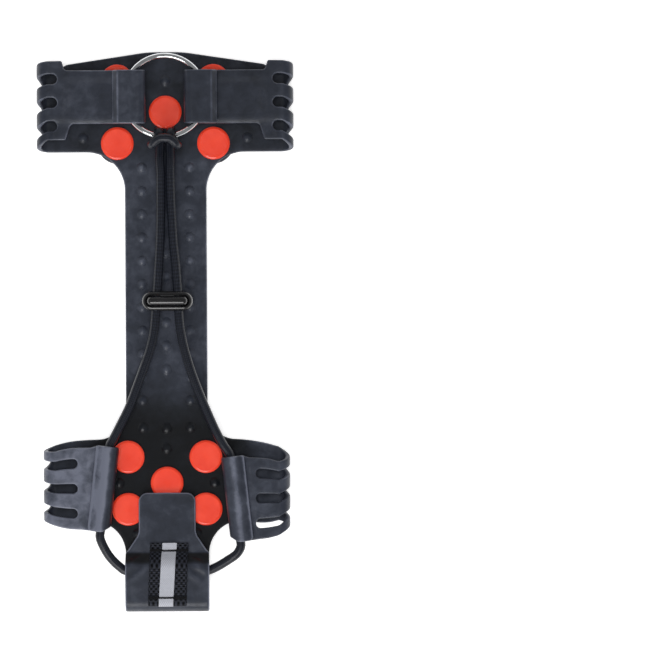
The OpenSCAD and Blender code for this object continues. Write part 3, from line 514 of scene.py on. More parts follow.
# Camera: straight above, turned a third of a degree, and so far off that there is hardly any perspective
VIEW_WIDTH, VIEW_HEIGHT = 0.338, 0.01
lens = bpy.data.cameras.new("camera")
lens.sensor_width, lens.lens = 36.0, 320.0
camera = bpy.data.objects.new("camera", lens)
camera.location = (0.0825, 0.003, VIEW_HEIGHT + VIEW_WIDTH * lens.lens / lens.sensor_width)
camera.rotation_euler = (0, 0, np.radians(-0.3))
bpy.context.scene.collection.objects.link(camera)
bpy.context.scene.camera = camera


# Elastic cord

def curve_through(points, per=10):
    """Catmull-Rom curve: between points 1 and 2 of four neighbours, at t from 0 to 1, it is half of
    (2 b + (c - a) t + (2 a - 5 b + 4 c - d) t^2 + (3 b - a - 3 c + d) t^3)."""
    p = np.array(points, float)
    p = np.vstack([2 * p[0] - p[1], p, 2 * p[-1] - p[-2]])
    a, b, c, d = (p[i:len(p) - 3 + i, None] for i in range(4))
    t = np.linspace(0, 1, per, endpoint=False)[:, None]
    bent = (2 * b + (c - a) * t + (2 * a - 5 * b + 4 * c - d) * t ** 2
            + (3 * b - a - 3 * c + d) * t ** 3) / 2
    return np.vstack([bent.reshape(-1, 3), p[-2]])


def length_of(path):
    """Sum of the steps along a path."""
    return np.linalg.norm(np.diff(path, axis=0), axis=1).sum()


def tube(path, radius, sides=20):
    """Round section carried along a path. Its first side is turned from step to step by as little
    as keeps it square to the path."""
    t = np.gradient(path, axis=0)
    t /= np.linalg.norm(t, axis=1)[:, None]
    side = [np.array([0.0, 0.0, 1.0])]
    for way in t:
        u = side[-1] - way * (side[-1] @ way)
        side.append(u / np.linalg.norm(u))
    u = np.array(side[1:])
    v = np.cross(t, u)
    angle = around(sides)[None, :, None]
    points = path[:, None] + radius * (np.cos(angle) * u[:, None] + np.sin(angle) * v[:, None])
    return grid(points, wrap=True, ends=True, size=(length_of(path), 2 * np.pi * radius))


ROUTE = [IN_TAB, TAIL_LEFT, SLEEVE_LEFT, REAR_LEFT, STRAND_LEFT + HITCH_LEFT + HITCH_RIGHT
         + STRAND_RIGHT, REAR_RIGHT, SLEEVE_RIGHT, TAIL_RIGHT, TO_JOINT]
PER = 10
PRESS, PRESSED_TO, FREE_FROM, DRAWN_IN = 0.37, 4.4, 6.8, 3.0


def to_wire(path):
    """Way to the ring's wire, and the share by which the cord is pressed flat there: all of PRESS up to
    PRESSED_TO from the wire's middle line, and nothing past FREE_FROM."""
    from_middle = path - [0, RING_Y, RING_Z]
    out = from_middle * [1, 1, 0]
    way = out / np.linalg.norm(out, axis=1)[:, None] * RING_R - from_middle
    away = np.linalg.norm(way, axis=1)[:, None]
    return way / away, PRESS * smooth((FREE_FROM - away) / (FREE_FROM - PRESSED_TO))


drawn_route = curve_through([p for run in ROUTE for p in run], PER)
wire_way, pressed = to_wire(drawn_route)
whole_cord = drawn_route + DRAWN_IN * pressed * wire_way
run_ends = PER * (np.cumsum([len(run) for run in ROUTE]) - 1)


def cord_part(name, first, last):
    """Tube along a stretch of the whole cord, pressed flat towards the ring's wire."""
    path = whole_cord[first:last + 1]
    points, faces, uv = tube(path, CORD_R)
    middle = np.vstack([np.repeat(path, (len(points) - 2) // len(path), 0), path[0], path[-1]])
    way, press = to_wire(middle)
    points = points - press * np.sum((points - middle) * way, 1)[:, None] * way
    return piece(name, [(points, faces, uv)], BRAID, weld=False), path


def bends(made):
    """Bakes a piece's place into its mesh; it bends nothing."""
    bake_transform(made)


cord_tab, _ = cord_part("cord_in_tab", 0, run_ends[0])
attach(cord_tab, "tab")
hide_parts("cord_tab")
cord_end, _ = cord_part("cord_in_tab_end", run_ends[7], run_ends[8])
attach(cord_end, "tab")
cord_front, front_path = cord_part("cord_strands", run_ends[3], run_ends[4])
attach(cord_front, "base")
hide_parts("cord_hitch", "cord_strand_left", "cord_strand_right")
for side, sleeve, rear, tail, halves in (("left", 2, 3, 1, ("tab", "wing")),
                                         ("right", 6, 5, 7, ("wing", "tab"))):
    wing = "wing_" + side
    in_sleeve, _ = cord_part("cord_in_sleeve_" + side, run_ends[sleeve - 1], run_ends[sleeve])
    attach(in_sleeve, wing)
    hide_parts("cord_sleeve_" + side)
    made, path = cord_part("cord_rear_" + side, run_ends[rear - 1], run_ends[rear])
    bends(made)
    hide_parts("cord_rear_" + side)
    middle = (run_ends[tail - 1] + run_ends[tail]) // 2
    for half, first, last in zip(halves, (run_ends[tail - 1], middle), (middle, run_ends[tail])):
        made, path = cord_part(f"cord_tail_{half}_{side}", first, last)
        path = path if first == middle else path[::-1]
        bends(made)
        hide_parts("cord_tail_" + side)


# Rubber sheet: sole, toe straps and their loops

FLAP_BEND, FLAP_LOW = 24.4, UPPER + 2 * SHEET + 0.1
toe_section = Fold(
    line((0, SOLE_TOP), (TOE_FOLD, SOLE_TOP)), arc((TOE_FOLD, FOLD_Z), FOLD_R, -90, 90),
    line((TOE_FOLD, UPPER), (LOOP_X, UPPER)), arc((LOOP_X, RING_Z), LOOP_R, 270, 90),
    line((LOOP_X, RING_Z + LOOP_R), (FLAP_BEND, RING_Z + LOOP_R)),
    line((FLAP_BEND, RING_Z + LOOP_R), (FLAP_EDGE, FLAP_LOW)))
flap_bend = toe_section.length - np.hypot(FLAP_EDGE - FLAP_BEND, RING_Z + LOOP_R - FLAP_LOW)
FOLD_L = np.pi * FOLD_R
TOE_OVER = TOE_FOLD + FOLD_L


def over_toe(x):
    """Length along the toe section to the place x of the folded-over layer."""
    return TOE_OVER + TOE_FOLD - x


toe_half = [(0, TOE_TOP, 0), (TOE_FLAT, TOE_TOP, 60), (TOE_BEND, TOE_TOP - TOE_FALL, 4),
            (TOE_FOLD, TOE_FRONT, 6), (over_toe(STEP_FRONT[0]), TOE_FRONT + 0.3, 1.2),
            (over_toe(STEP_FRONT[1]), STRAP_FRONT, 2), (toe_section.length, STRAP_FRONT, 0.8),
            (toe_section.length, STRAP_REAR, 0.8), (over_toe(STEP_REAR[1]), STRAP_REAR, 2.4),
            (over_toe(STEP_REAR[0]), TOE_REAR, 1.2), (WAIST, TOE_REAR, 20), (WAIST, WING_FRONT, 15)]
heel_seam = HEEL_FOLD - SEAM
tab_seam = -(TAB_FOLD - SEAM)
heel_half = [(heel_seam, WING_FRONT, 0), (heel_seam, WING_REAR, 0), (TAB_HALF, WING_REAR, 17),
             (TAB_HALF, tab_seam, 0), (0, tab_seam, 0)]


def slot_outline(start, end, y, width):
    """Slot with round ends."""
    r = width / 2
    return rounded([(start, y - r, 0.99 * r), (end, y - r, 0.99 * r), (end, y + r, 0.99 * r),
                    (start, y + r, 0.99 * r)], 0.9)


toe_slots = [slot_outline(TOE_FOLD + TOE_SLOT_FROM, TOE_OVER + TOE_SLOT_OUT, y, TOE_SLOT)
             for y in TOE_SLOTS]
BUMP_R, BUMP_H, BUMP_X, BUMP_PITCH = 2.8, 1.45, 12.4, 12.1
BUMPS = np.array([(BUMP_X, FRONT_Y - 29 - BUMP_PITCH * i) for i in range(11)]
                 + [(0, FRONT_Y - 73.3 - BUMP_PITCH * i) for i in range(6)]
                 + [(BUMP_X, HEEL_Y + 28.8), (42.7, FRONT_Y - 13.4), (0, FRONT_Y + 16.3),
                    (0, HEEL_Y + 17.7), (0, HEEL_Y + 28.3), (24.9, HEEL_Y), (15.4, HEEL_Y - 26.3)])


def bump_height(p):
    """Low domes: height times 1 - (distance / radius)^2."""
    d = np.linalg.norm(p[:, None] - BUMPS, axis=2).min(1)
    return BUMP_H * np.clip(1 - (d / BUMP_R) ** 2, 0, None)


def on_rubber_seam(p):
    """The half sheet's seams: the mirror line, the heel tab's and the wing's."""
    x, y = p.T
    return at_line(x) | at_line(y, tab_seam) | (at_line(x, heel_seam) & (y < WING_FRONT + 1))


LEAD, LEAD_SHARE, GATHER_REACH = 22.0, 0.2, 9.0


def wing_place(s, v, shift):
    """Y of a wing's point, at length s past its seam. The wing leans by shift as it folds over, a
    share of it over a lead before the seam, and draws together at the fold along a bell curve."""
    middle = (WING_FRONT + WING_REAR) / 2
    lead = LEAD_SHARE * smooth(1 + s / LEAD)
    over = (1 - LEAD_SHARE) * np.clip((s - SEAM) / FOLD_L, 0, 1)
    gather = HEEL_GATHER * np.exp(-((s - SEAM - FOLD_L / 2) / GATHER_REACH) ** 2)
    return v - gather * (v - middle) - shift * (lead + over)


THICK_FRONT, THICK_REAR, THICK_HALF = 92, -62, 23.6
BEVEL, BEVEL_W = 0.9, 3.0
HOLLOW, HOLLOW_EASE, HOLLOW_X, HOLLOW_REAR, HOLLOW_FRONT = 0.3, 0.9, 51.4, 3.4, 4.4
# Drop below the face past which a rim is painted paler, partly as scuff and partly as painted highlight
PALE_RIM_DROP = 0.05


def sheet_grey(u, v, drop, face, rise):
    """Greyness of the flat half, and how much paler it is at rims, flap lines and bump tops. Straps and waist
    are greyer, the toe and heel are painted darker as painted shade, and the paler rims, flap lines and bump
    tops are partly scuffs and partly painted highlight."""
    # Painted shade: darker towards the heel and at the toe than at the waist and straps
    toe, waist, strap, underside = 0.4, 0.24, 0.66, 0.6
    to_heel = smooth((-30 - v) / 22)
    at_waist = smooth((v + 40) / 25) * smooth((98 - v) / 12)
    low = toe - toe * to_heel + waist * at_waist
    grey = np.where(face == 0, low + (strap - low) * smooth((u - TOE_FOLD) / 8), underside)
    # Paler rims, flap lines and bump tops: partly scuff, partly painted highlight
    from_flap = np.minimum(np.abs(u - toe_section.length + 0.5), np.abs(u - flap_bend))
    scuff_and_highlight = np.maximum(np.where(drop > PALE_RIM_DROP, 1, 0), smooth(1.4 - from_flap / 0.5))
    return grey, scuff_and_highlight + 0.7 * rise / BUMP_H * (face == 0)


def rubber_sheet():
    """Both halves of the sheet in one piece: a flat half, folded along the toe section, and its mirror
    image. It is thick under the foot, and the straps are bevelled at the rear and a little hollow."""
    lines = (spaced((0.001, TOE_FOLD, 1.25), (TOE_FOLD, TOE_OVER, FOLD_STEP),
                    (TOE_OVER, over_toe(LOOP_X), 1.25), (over_toe(LOOP_X), toe_section.length, 0.6)),
             np.arange(-137.4, 146, 1.25))
    flat, drop, face, faces = plate([rounded(toe_half + heel_half)] + toe_slots, lines,
                                    BUMPS, on_rubber_seam)
    u, v = flat.T
    full = smooth((THICK_FRONT - v) / 5) * smooth((v - THICK_REAR) / 5) * smooth((THICK_HALF - u) / 3)
    folded = smooth((u - TOE_OVER) / 3)
    to_loop = smooth((over_toe(LOOP_X) - u) / 4)
    bevel = folded * to_loop * np.clip(1 - (v - STRAP_REAR) / BEVEL_W, 0, 1)
    hollow = (smooth((u - over_toe(HOLLOW_X)) / HOLLOW_EASE)
              * smooth((v - STRAP_REAR - HOLLOW_REAR) / HOLLOW_EASE)
              * smooth((STRAP_FRONT - HOLLOW_FRONT - v) / HOLLOW_EASE) * to_loop)
    thick = SHEET + (SOLE - SHEET) * full - BEVEL * bevel - HOLLOW * hollow
    rise = np.where(u < TOE_FOLD, bump_height(flat), 0)
    x, z = toe_section.at(u, np.where(face == 0, drop - rise, thick - drop))
    turned = np.clip((u - TOE_FOLD) / FOLD_L, 0, 1)
    gather = TOE_GATHER * (v - (TOE_FRONT + TOE_REAR) / 2) * np.sin(np.pi * turned)
    # Without the faces on the mirror line, so that both halves weld into one
    kept = [f for f in faces if max(flat[f, 0]) > 1e-4]
    at_wing = v < WING_FRONT + 1
    spread = smooth((u - 30) / 20) * at_wing
    grey, scuff_and_highlight = sheet_grey(u, v, drop, face, rise)
    sides, greys = [], []
    # The right half's folded layers are a little darker
    for mirror, shift, under, darker_folds in ((1, RIGHT_SHIFT, RIGHT_UNDER, 0.1),
                                          (-1, LEFT_SHIFT, LEFT_UNDER, 0)):
        y = np.where((u > heel_seam - LEAD) & at_wing, wing_place(u - heel_seam, v, shift),
                     v + TOE_SHIFT * turned - gather)
        sides.append((np.column_stack([mirror * x, y, z]), [f[::mirror] for f in kept], None))
        # Paler rims, flap lines and bump tops, partly scuff and partly painted highlight
        greys.append(grey + spread * (under - grey) + 0.25 * scuff_and_highlight - darker_folds * folded)
    made = piece("rubber_sheet", sides, RUBBER, "base", bloom_and_painted_light=np.concatenate(greys))
    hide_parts("sole", "toe_fold_left", "toe_fold_right", "toe_strap_left", "toe_strap_right")


rubber_sheet()


# Heel wings: bands round the fold, the wing and the sleeve rolled round the cord

LEAN = np.radians(6.3)
SLEEVE_Z, SLEEVE_R, CREST = 17.2, 5.1, 50
ROLL_FROM, FLAP_TO, FLAP_TIP = 9.0, 7.0, 19.75
FOLD_HEIGHT = 2 * FOLD_R
dip = np.linspace(0, 1, 120)
crest = np.radians(CREST)
flap_x, flap_z = SLEEVE_R * np.cos(crest), SLEEVE_Z + SLEEVE_R * np.sin(crest)
sleeve_section = Fold(
    np.stack([ROLL_FROM * (1 - dip), UPPER + (SLEEVE_Z - SLEEVE_R - UPPER) * smooth(dip)], -1),
    arc((0, SLEEVE_Z), SLEEVE_R, 270, CREST),
    np.stack([flap_x + (FLAP_TO - flap_x) * dip,
              flap_z + (FLAP_TIP - flap_z) * (1.6 * dip - 0.6 * dip ** 2)], -1))
FLAP_L = sleeve_section.length - sleeve_section.s[np.argmax(sleeve_section.p[:, 1])]
ROLL_END = ROLL_FROM - sleeve_section.length
wing_section = Fold(line((heel_seam, SOLE_TOP), (HEEL_FOLD, SOLE_TOP)),
                    arc((HEEL_FOLD, FOLD_Z), FOLD_R, -90, 90))
WING_OVER = wing_section.length
SLEEVE_L = (WING_FRONT - WING_REAR) / np.cos(LEAN)


def bends_at_fold(made):
    """Bakes a piece's place into its mesh through bends; nothing is bent at the fold."""
    bends(made)


def heel_wing(side, mirror, shift, sleeve_x, grey, under, inner_shade):
    """Flat comb, mapped round the fold, then flat, then rolled round the sleeve's leaning axis. Below the
    fold it goes to the greyness under, which on the left is darker as painted shade. Its sleeve gets painted
    light: a painted highlight along the crest and at the flap's edge, and painted shade on the inner side by
    the given amount."""
    origin = np.array([sleeve_x, WING_FRONT - shift])
    axis, out = np.array([np.sin(LEAN), -np.cos(LEAN)]), np.array([np.cos(LEAN), np.sin(LEAN)])

    def flat_at(p, q):
        """Flat place of p along the sleeve's axis and q out from it."""
        x, y = origin + p * axis + q * out
        return WING_OVER + HEEL_FOLD - x, y + shift

    def plain_at(q, y):
        """Flat place of q out from the sleeve's axis, on the line y of the drawing."""
        x = origin[0] + (q - (y - shift - origin[1]) * out[1]) / out[0]
        return WING_OVER + HEEL_FOLD - x, y

    corners = [(0, WING_REAR, 0), (0, WING_FRONT, 0), (*plain_at(9.5, WING_FRONT), 3),
               (*flat_at(-0.5, 6.5), 3), (*flat_at(-0.5, ROLL_END), 1.0),
               (*flat_at(SLEEVE_L + 1.2, ROLL_END), 2.5), (*flat_at(SLEEVE_L + 1.2, 5.5), 3),
               (*plain_at(10, WING_REAR), 3)]
    holes = [slot_outline(SEAM + HEEL_SLOT_FROM, WING_OVER + HEEL_SLOT_OUT, y, HEEL_SLOT)
             for y in HEEL_SLOTS]
    far = WING_OVER + HEEL_FOLD - origin[0] - ROLL_END + 8
    lines = (spaced((0, WING_OVER, FOLD_STEP), (WING_OVER, far, 0.8)),
             np.arange(WING_REAR - 12, WING_FRONT + 12, 1.0))
    flat, drop, face, faces = plate([rounded(corners), *holes], lines, (), lambda p: at_line(p[:, 0]))
    s, v = flat.T
    depth = np.where(face == 0, drop, SHEET - drop)
    bx, bz = wing_section.at(np.minimum(s, WING_OVER), depth)
    x = np.where(s > WING_OVER, WING_OVER + HEEL_FOLD - s, bx)
    y = wing_place(s, v, shift)
    p, q = (np.stack([x, y], -1) - origin) @ axis, (np.stack([x, y], -1) - origin) @ out
    to_flap = smooth((ROLL_FROM - q - sleeve_section.length + FLAP_L) / FLAP_L)
    rq, rz = sleeve_section.at(ROLL_FROM - q, depth * np.where(face == 0, 1, 1 - 0.45 * to_flap))
    tucked = 3.2 * smooth((p - SLEEVE_L + 5) / 6.5) * smooth(-rq / 6)
    rolled = origin + (p - tucked)[:, None] * axis + rq[:, None] * out
    roll = (s > WING_OVER) & (q < ROLL_FROM)
    z = np.where(s > WING_OVER, np.where(roll, rz, UPPER + depth), bz)
    points = np.stack([mirror * np.where(roll, rolled[:, 0], x), np.where(roll, rolled[:, 1], y), z], -1)
    # Painted light on the sleeve: a highlight along its crest, a pale line at the flap's edge and shade on
    # its inner side; paler rims, partly scuff and partly painted highlight
    crest_highlight, edge = np.exp(-((rq - 1) / 2) ** 2), smooth(ROLL_END + 1.6 - q)
    sleeve_light = 0.3 * crest_highlight - inner_shade * smooth((1.5 - rq) / 7) + 0.4 * edge
    height_grey = under + (grey - under) * smooth((z - SOLE_TOP) / FOLD_HEIGHT)
    shade = height_grey + np.where(drop > PALE_RIM_DROP, 0.12, 0) + roll * sleeve_light
    made = piece("heel_wing_" + side, [(points, faces, None)], RUBBER, bloom_and_painted_light=shade)
    bends_at_fold(made)
    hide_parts("heel_fold_" + side, "heel_wing_" + side)


# The left wing is painted paler than the right, as painted light, and darker below its fold, as painted
# shade; its sleeve's inner side gets painted shade
heel_wing("left", -1, LEFT_SHIFT, HEEL_FOLD - 28.5, grey=0.9, under=LEFT_UNDER, inner_shade=0.5)
heel_wing("right", 1, RIGHT_SHIFT, HEEL_FOLD - 24.9, grey=0.66, under=RIGHT_UNDER, inner_shade=0.0)


# Heel tab: its fold, the crease down onto the studs and the pull end, then what is sewn on it

PULL_Z, PULL_END, PULL_HALF = 11.4, 83.7, 14.8
CREASE_REAR, CREASE_FRONT = 122.8, 114.2
crease = np.linspace(0, 1, 100)
tab_section = Fold(
    line((TAB_FOLD - SEAM, SOLE_TOP), (TAB_FOLD, SOLE_TOP)), arc((TAB_FOLD, FOLD_Z), FOLD_R, -90, 90),
    line((TAB_FOLD, UPPER), (CREASE_REAR, UPPER)),
    np.stack([CREASE_REAR + (CREASE_FRONT - CREASE_REAR) * crease,
              UPPER - (UPPER - PULL_Z) * smooth(crease)], -1),
    line((CREASE_FRONT, PULL_Z), (PULL_END, PULL_Z)))
TAB_OVER = SEAM + FOLD_L


def over_tab(y):
    """Length along the tab section to the place y of its upper layer."""
    upper = tab_section.s > TAB_OVER
    return np.interp(y, -tab_section.p[upper, 0], tab_section.s[upper])


def tab_point(s, x, depth):
    """Place on the tab: length s along its section, x to the side, depth out from its inner face."""
    a, z = tab_section.at(s, depth)
    return np.stack([x, -a, z], -1)


tab_half = [(0, TAB_HALF, 0), (over_tab(-125), TAB_HALF + 0.2, 30), (over_tab(-115.3), TAB_HALF, 3.5),
            (over_tab(-105), PULL_HALF, 7), (tab_section.length, PULL_HALF, 4.7)]
tab_corners = tab_half + [(s, -x, r) for s, x, r in reversed(tab_half)]


def wrinkles(s, x):
    """Folds beside the webbing: waves across slanting lines, which fade along a bell curve away from
    the crease."""
    from_crease = s - over_tab(-118.5)
    beside = smooth((np.abs(x) - 9) / 4) * smooth((21.5 - np.abs(x)) / 3)
    slant = from_crease + 0.75 * (np.abs(x) - 10)
    wave = np.sin(slant * 0.8 + 0.9 * np.sign(x)) * np.exp(-(from_crease + 5) ** 2 / 60)
    return 0.4 * beside * wave


def heel_tab():
    """Flat tab, carried along the tab section. Its crease and the hollows of its wrinkles are painted darker,
    as painted shade, and its rims are painted paler, partly as scuffs and partly as painted highlight."""
    lines = (spaced((0, TAB_OVER, FOLD_STEP), (TAB_OVER, tab_section.length, 0.9)),
             np.arange(-21.4, 21.5, 0.9))
    flat, drop, face, faces = plate([rounded(tab_corners)], lines, (), lambda p: at_line(p[:, 0]))
    s, x = flat.T
    wave = wrinkles(s, x) * np.where(drop > 0.6, 0.3, 1)
    depth = np.where(face == 0, drop, SHEET - drop) + wave
    slope = smooth((s - over_tab(-121.8)) / 2) * smooth((over_tab(-115.6) - s) / 2)
    # Painted shade in the crease and the wrinkles' hollows; paler rims, partly scuff and partly painted
    # highlight
    grey = 0.61 + np.where(drop > PALE_RIM_DROP, 0.45, 0) - 0.7 * slope + 0.25 * wave
    made = piece("heel_tab", [(tab_point(s, x, depth), faces, None)], RUBBER, bloom_and_painted_light=grey)
    bends_at_fold(made)
    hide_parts("heel_tab_bend", "heel_tab")


heel_tab()


def askew(s, ends):
    """Sideways place of what is sewn on the tab, from its end at the fold to its other end."""
    return ends[0] + (ends[1] - ends[0]) * (s - WEB_ENDS[0]) / (WEB_ENDS[1] - WEB_ENDS[0])


WEB_ENDS = (TAB_OVER - FOLD_R * np.arcsin(2.4 / (FOLD_R + SHEET)), over_tab(-109.7))
WEB_ASKEW, TAPE_ASKEW = (0.0, 1.05), (-0.7, 1.3)


def strip(name, lean, half, low, high, finish, ribs, rib_h, columns=24):
    """Closed strip that follows the tab's outer face between two heights above it: a section of
    rounded edges and a ribbed top, whose ribs are |sin| waves along the strip."""
    s = np.linspace(*WEB_ENDS, ribs * 6 + 1)[:, None]
    length = WEB_ENDS[1] - WEB_ENDS[0]
    r = (high - low) / 2
    a = np.radians(np.linspace(-90, 90, 7))
    left = np.stack([-half + r - r * np.cos(a), low + r + r * np.sin(a)], -1)
    top = np.stack([np.linspace(-half + r, half - r, columns)[1:-1], np.full(columns - 2, high)], -1)
    right = np.stack([half - r + r * np.cos(a), low + r + r * np.sin(a)], -1)[::-1]
    under = np.stack([np.linspace(half - r, -half + r, 6)[1:-1], np.full(4, low)], -1)
    section = np.vstack([left, top, right, under])
    wave = rib_h * (np.abs(np.sin(np.pi * ribs * (s - WEB_ENDS[0]) / length)) - 1)
    share = np.clip((section[:, 1] - low) / (high - low), 0, 1)
    height = section[:, 1] + wave * share
    points = tab_point(s, np.broadcast_to(section[:, 0], height.shape) + askew(s, lean), SHEET + height)
    return piece(name, [grid(points, wrap=True, ends=True, size=(length, 2 * half + 4))],
                 finish, "tab", sharp=60)


webbing = strip("heel_webbing", WEB_ASKEW, 10, 0.02, 1.2, WEBBING, ribs=29, rib_h=0.28)
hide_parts("heel_webbing")
tape = strip("reflective_tape", TAPE_ASKEW, 3.75, 1.18, 1.5, TAPE, ribs=15, rib_h=0.06)
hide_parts("reflective_tape")
TACKS = (over_tab(-138.0), over_tab(-113.7))
TACK_HALF, TACK_REACH, THREAD_R = 9.9, 0.85, 0.26


def tack(s):
    """Bar tack: a zigzag of thread across the webbing, drawn as one thin tube."""
    turns = 26
    x = np.linspace(-TACK_HALF, TACK_HALF, 2 * turns + 1) + askew(s, WEB_ASKEW)
    on_tape = np.abs(x - askew(s, TAPE_ASKEW)) < 4
    swing = TACK_REACH * np.where(np.arange(2 * turns + 1) % 2, 1, -1) * np.where(on_tape, 0.45, 1)
    lift = SHEET + np.where(on_tape, 1.62, 1.4)
    return tube(curve_through(tab_point(s + swing, x, lift), 5), THREAD_R, 8)


tacks = piece("bar_tacks", [tack(s) for s in TACKS], THREAD, "tab", weld=False)
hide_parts("bar_tacks")

# Keeper, from the tab behind the cord to the tab in front of it
KEEPER = [(0, -138.4, 16.05), (0, -134, 16.05), (0, -131, 15.8), (0, -129, 13.4), (0, -127.6, 10.9),
          (0, -125.6, 10.25), (0, -122.5, 10.25), (0, -119.5, 10.5), (0, -116, 10.95), (0, -112, 11.02)]
KEEPER_W, KEEPER_THICK = 20, 0.6


def cord_keeper():
    """Webbing loop under the cord: a flat section, |cos a|^0.25 wide and sin a high, along a curve."""
    path = curve_through(KEEPER, 8)
    way = np.gradient(path, axis=0)
    way /= np.linalg.norm(way, axis=1)[:, None]
    sideways = np.array([1.0, 0, 0])
    up = np.cross(sideways, way)
    a = around(24)
    across = KEEPER_W / 2 * np.sign(np.cos(a)) * np.abs(np.cos(a)) ** 0.25
    high = KEEPER_THICK / 2 * np.sin(a)
    points = path[:, None] + across[None, :, None] * sideways + high[None, :, None] * up[:, None]
    loop = grid(points, wrap=True, ends=True, size=(length_of(path), 2 * KEEPER_W + 1))
    made = piece("cord_keeper", [loop], WEBBING, "tab", weld=False)
    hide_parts("cord_keeper")


cord_keeper()


# Studs: discs, collars, pins and tips, turned about their middle lines

def lathe(profile, centre, sides=64):
    """Profile of (radius, height) points turned about an upright line."""
    r, z = np.array(profile, float).T
    a = around(sides)
    points = np.stack(np.broadcast_arrays(centre[0] + r[:, None] * np.cos(a),
                                          centre[1] + r[:, None] * np.sin(a), z[:, None]), -1)
    return grid(points, wrap=True, ends=True, size=(40.0, 60.0))


def quarter(r, z, size, first, last, count=5):
    """Points of a rounded corner of a profile about (r, z)."""
    a = np.radians(np.linspace(first, last, count))
    return list(zip(r + size * np.cos(a), z + size * np.sin(a)))


DISC_TOP, DISC_R, COLLAR_R, COLLAR_BOTTOM = 11.1, 8.5, 7.1, 2.6
disc_profile = [(3.9, SOLE_BOTTOM + 0.2), (3.9, SOLE_TOP), (DISC_R - 0.25, SOLE_TOP),
                *quarter(DISC_R - 0.25, SOLE_TOP + 0.25, 0.25, -90, 0, 3), (DISC_R, DISC_TOP - 0.65),
                (DISC_R - 0.15, DISC_TOP - 0.45), (DISC_R - 1.0, DISC_TOP - 0.04), (DISC_R - 1.15, DISC_TOP),
                (DISC_R - 1.5, DISC_TOP - 0.06), (4, DISC_TOP - 0.1), (0.3, DISC_TOP - 0.1)]
collar_profile = [(2.46, SOLE_BOTTOM), (COLLAR_R - 0.3, SOLE_BOTTOM), (COLLAR_R, SOLE_BOTTOM - 0.3),
                  *quarter(COLLAR_R - 0.6, COLLAR_BOTTOM + 0.6, 0.6, 0, -90),
                  *quarter(3.1, COLLAR_BOTTOM + 0.35, 0.35, -90, -180, 4), (2.46, COLLAR_BOTTOM + 0.9)]
pin_profile = [(0.3, SOLE_BOTTOM + 2.3), (2.4, SOLE_BOTTOM + 2.3), (2.4, 1.0),
               *quarter(1.9, 0.9, 0.5, 0, -90), (1.25, 0.4), (1.12, 0.55), (1.12, 1.6), (0.2, 1.6)]
tip_profile = [(0.2, 2.15), (1.1, 2.15), (1.1, 0.35), *quarter(0.75, 0.35, 0.35, 0, -90, 4), (0.2, 0.0)]
for i, centre in enumerate(STUDS, 1):
    made = piece(f"stud_disc_{i}", [lathe(disc_profile, centre)], DISC, "base", sharp=30)
    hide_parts(f"stud_disc_{i}")
    made = piece(f"stud_collar_{i}", [lathe(collar_profile, centre)], COLLAR, "base",
                 sharp=30)
    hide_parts(f"stud_collar_{i}")
for end, group in (("front", STUDS[:5]), ("heel", STUDS[5:])):
    made = piece("stud_pins_" + end, [lathe(pin_profile, c, 40) for c in group], PIN, "base")
    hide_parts("stud_pins_" + end)
    made = piece("carbide_tips_" + end, [lathe(tip_profile, c, 32) for c in group], CARBIDE,
                 "base")
    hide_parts("carbide_tips_" + end)


# Ring

def toe_ring():
    """Round wire: a small circle carried along a large one."""
    outward = np.column_stack([circle(144), np.zeros(144)])
    a = around(24)[:, None, None]
    section = WIRE_R * (np.cos(a) * outward + np.sin(a) * np.array([0, 0, 1.0]))
    points = np.array([0, RING_Y, RING_Z]) + RING_R * outward + section
    points = np.concatenate([points, points[:1]])
    made = piece("toe_ring", [grid(points, wrap=True, size=(10.0, 130.0))], CHROME, "ring")
    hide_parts("toe_ring")


toe_ring()


# Tread: pads with their rims, and the chevron ridges

def pad_outline(y, w, h, group, margin, count=360):
    """Ellipse that bulges round its corner studs: at each angle the outermost of the ellipse and
    the circles, with the corners between them eased by a short running mean."""
    way = circle(count)
    reach = 1 / np.hypot(way[:, 0] / (w / 2 + margin), way[:, 1] / (h / 2 + margin))
    for c in np.array(group) - [0, y]:
        along = way @ c
        room = (COLLAR_R + 1 + margin) ** 2 - (c @ c - along ** 2)
        reach = np.maximum(reach, np.where((room > 0) & (along > 0), along + np.sqrt(room.clip(0)), 0))
    for _ in range(3):
        reach = (np.roll(reach, 1) + 2 * reach + np.roll(reach, -1)) / 4
    p = way * reach[:, None] + [0, y]
    s = np.concatenate([[0], np.cumsum(np.linalg.norm(np.roll(p, -1, 0) - p, axis=1))])
    even = np.linspace(0, s[-1], int(s[-1] / 1.2), endpoint=False)
    closed = np.vstack([p, p[:1]])
    return np.stack([np.interp(even, s, closed[:, i]) for i in (0, 1)], -1)


RIM_W, RIM_ROOT = 2.4, SOLE_BOTTOM + 0.5


def rim(y, w, h, group):
    """Raised rim: a rounded section carried along the outline between its inner and outer edges."""
    outer = pad_outline(y, w, h, group, RIM_W)
    ahead = np.roll(outer, -1, 0) - np.roll(outer, 1, 0)
    inwards = np.stack([-ahead[:, 1], ahead[:, 0]], -1) / np.linalg.norm(ahead, axis=1)[:, None]
    a = np.radians(np.linspace(180, 360, 9))
    half = RIM_W / 2
    across = np.concatenate([[0.0], half + half * np.cos(a) * (1 - 0.18 * np.abs(np.sin(a))), [RIM_W]])
    height = np.concatenate([[RIM_ROOT], RIM_BOTTOM + 0.9 * (1 + np.sin(a)), [RIM_ROOT]])
    points = outer[:, None] + across[None, :, None] * inwards[:, None]
    points = np.concatenate([points, np.broadcast_to(height[None, :, None], (*points.shape[:2], 1))], -1)
    points = np.concatenate([points, points[:1]])
    return grid(points, wrap=True, size=(10.0, 10.0))


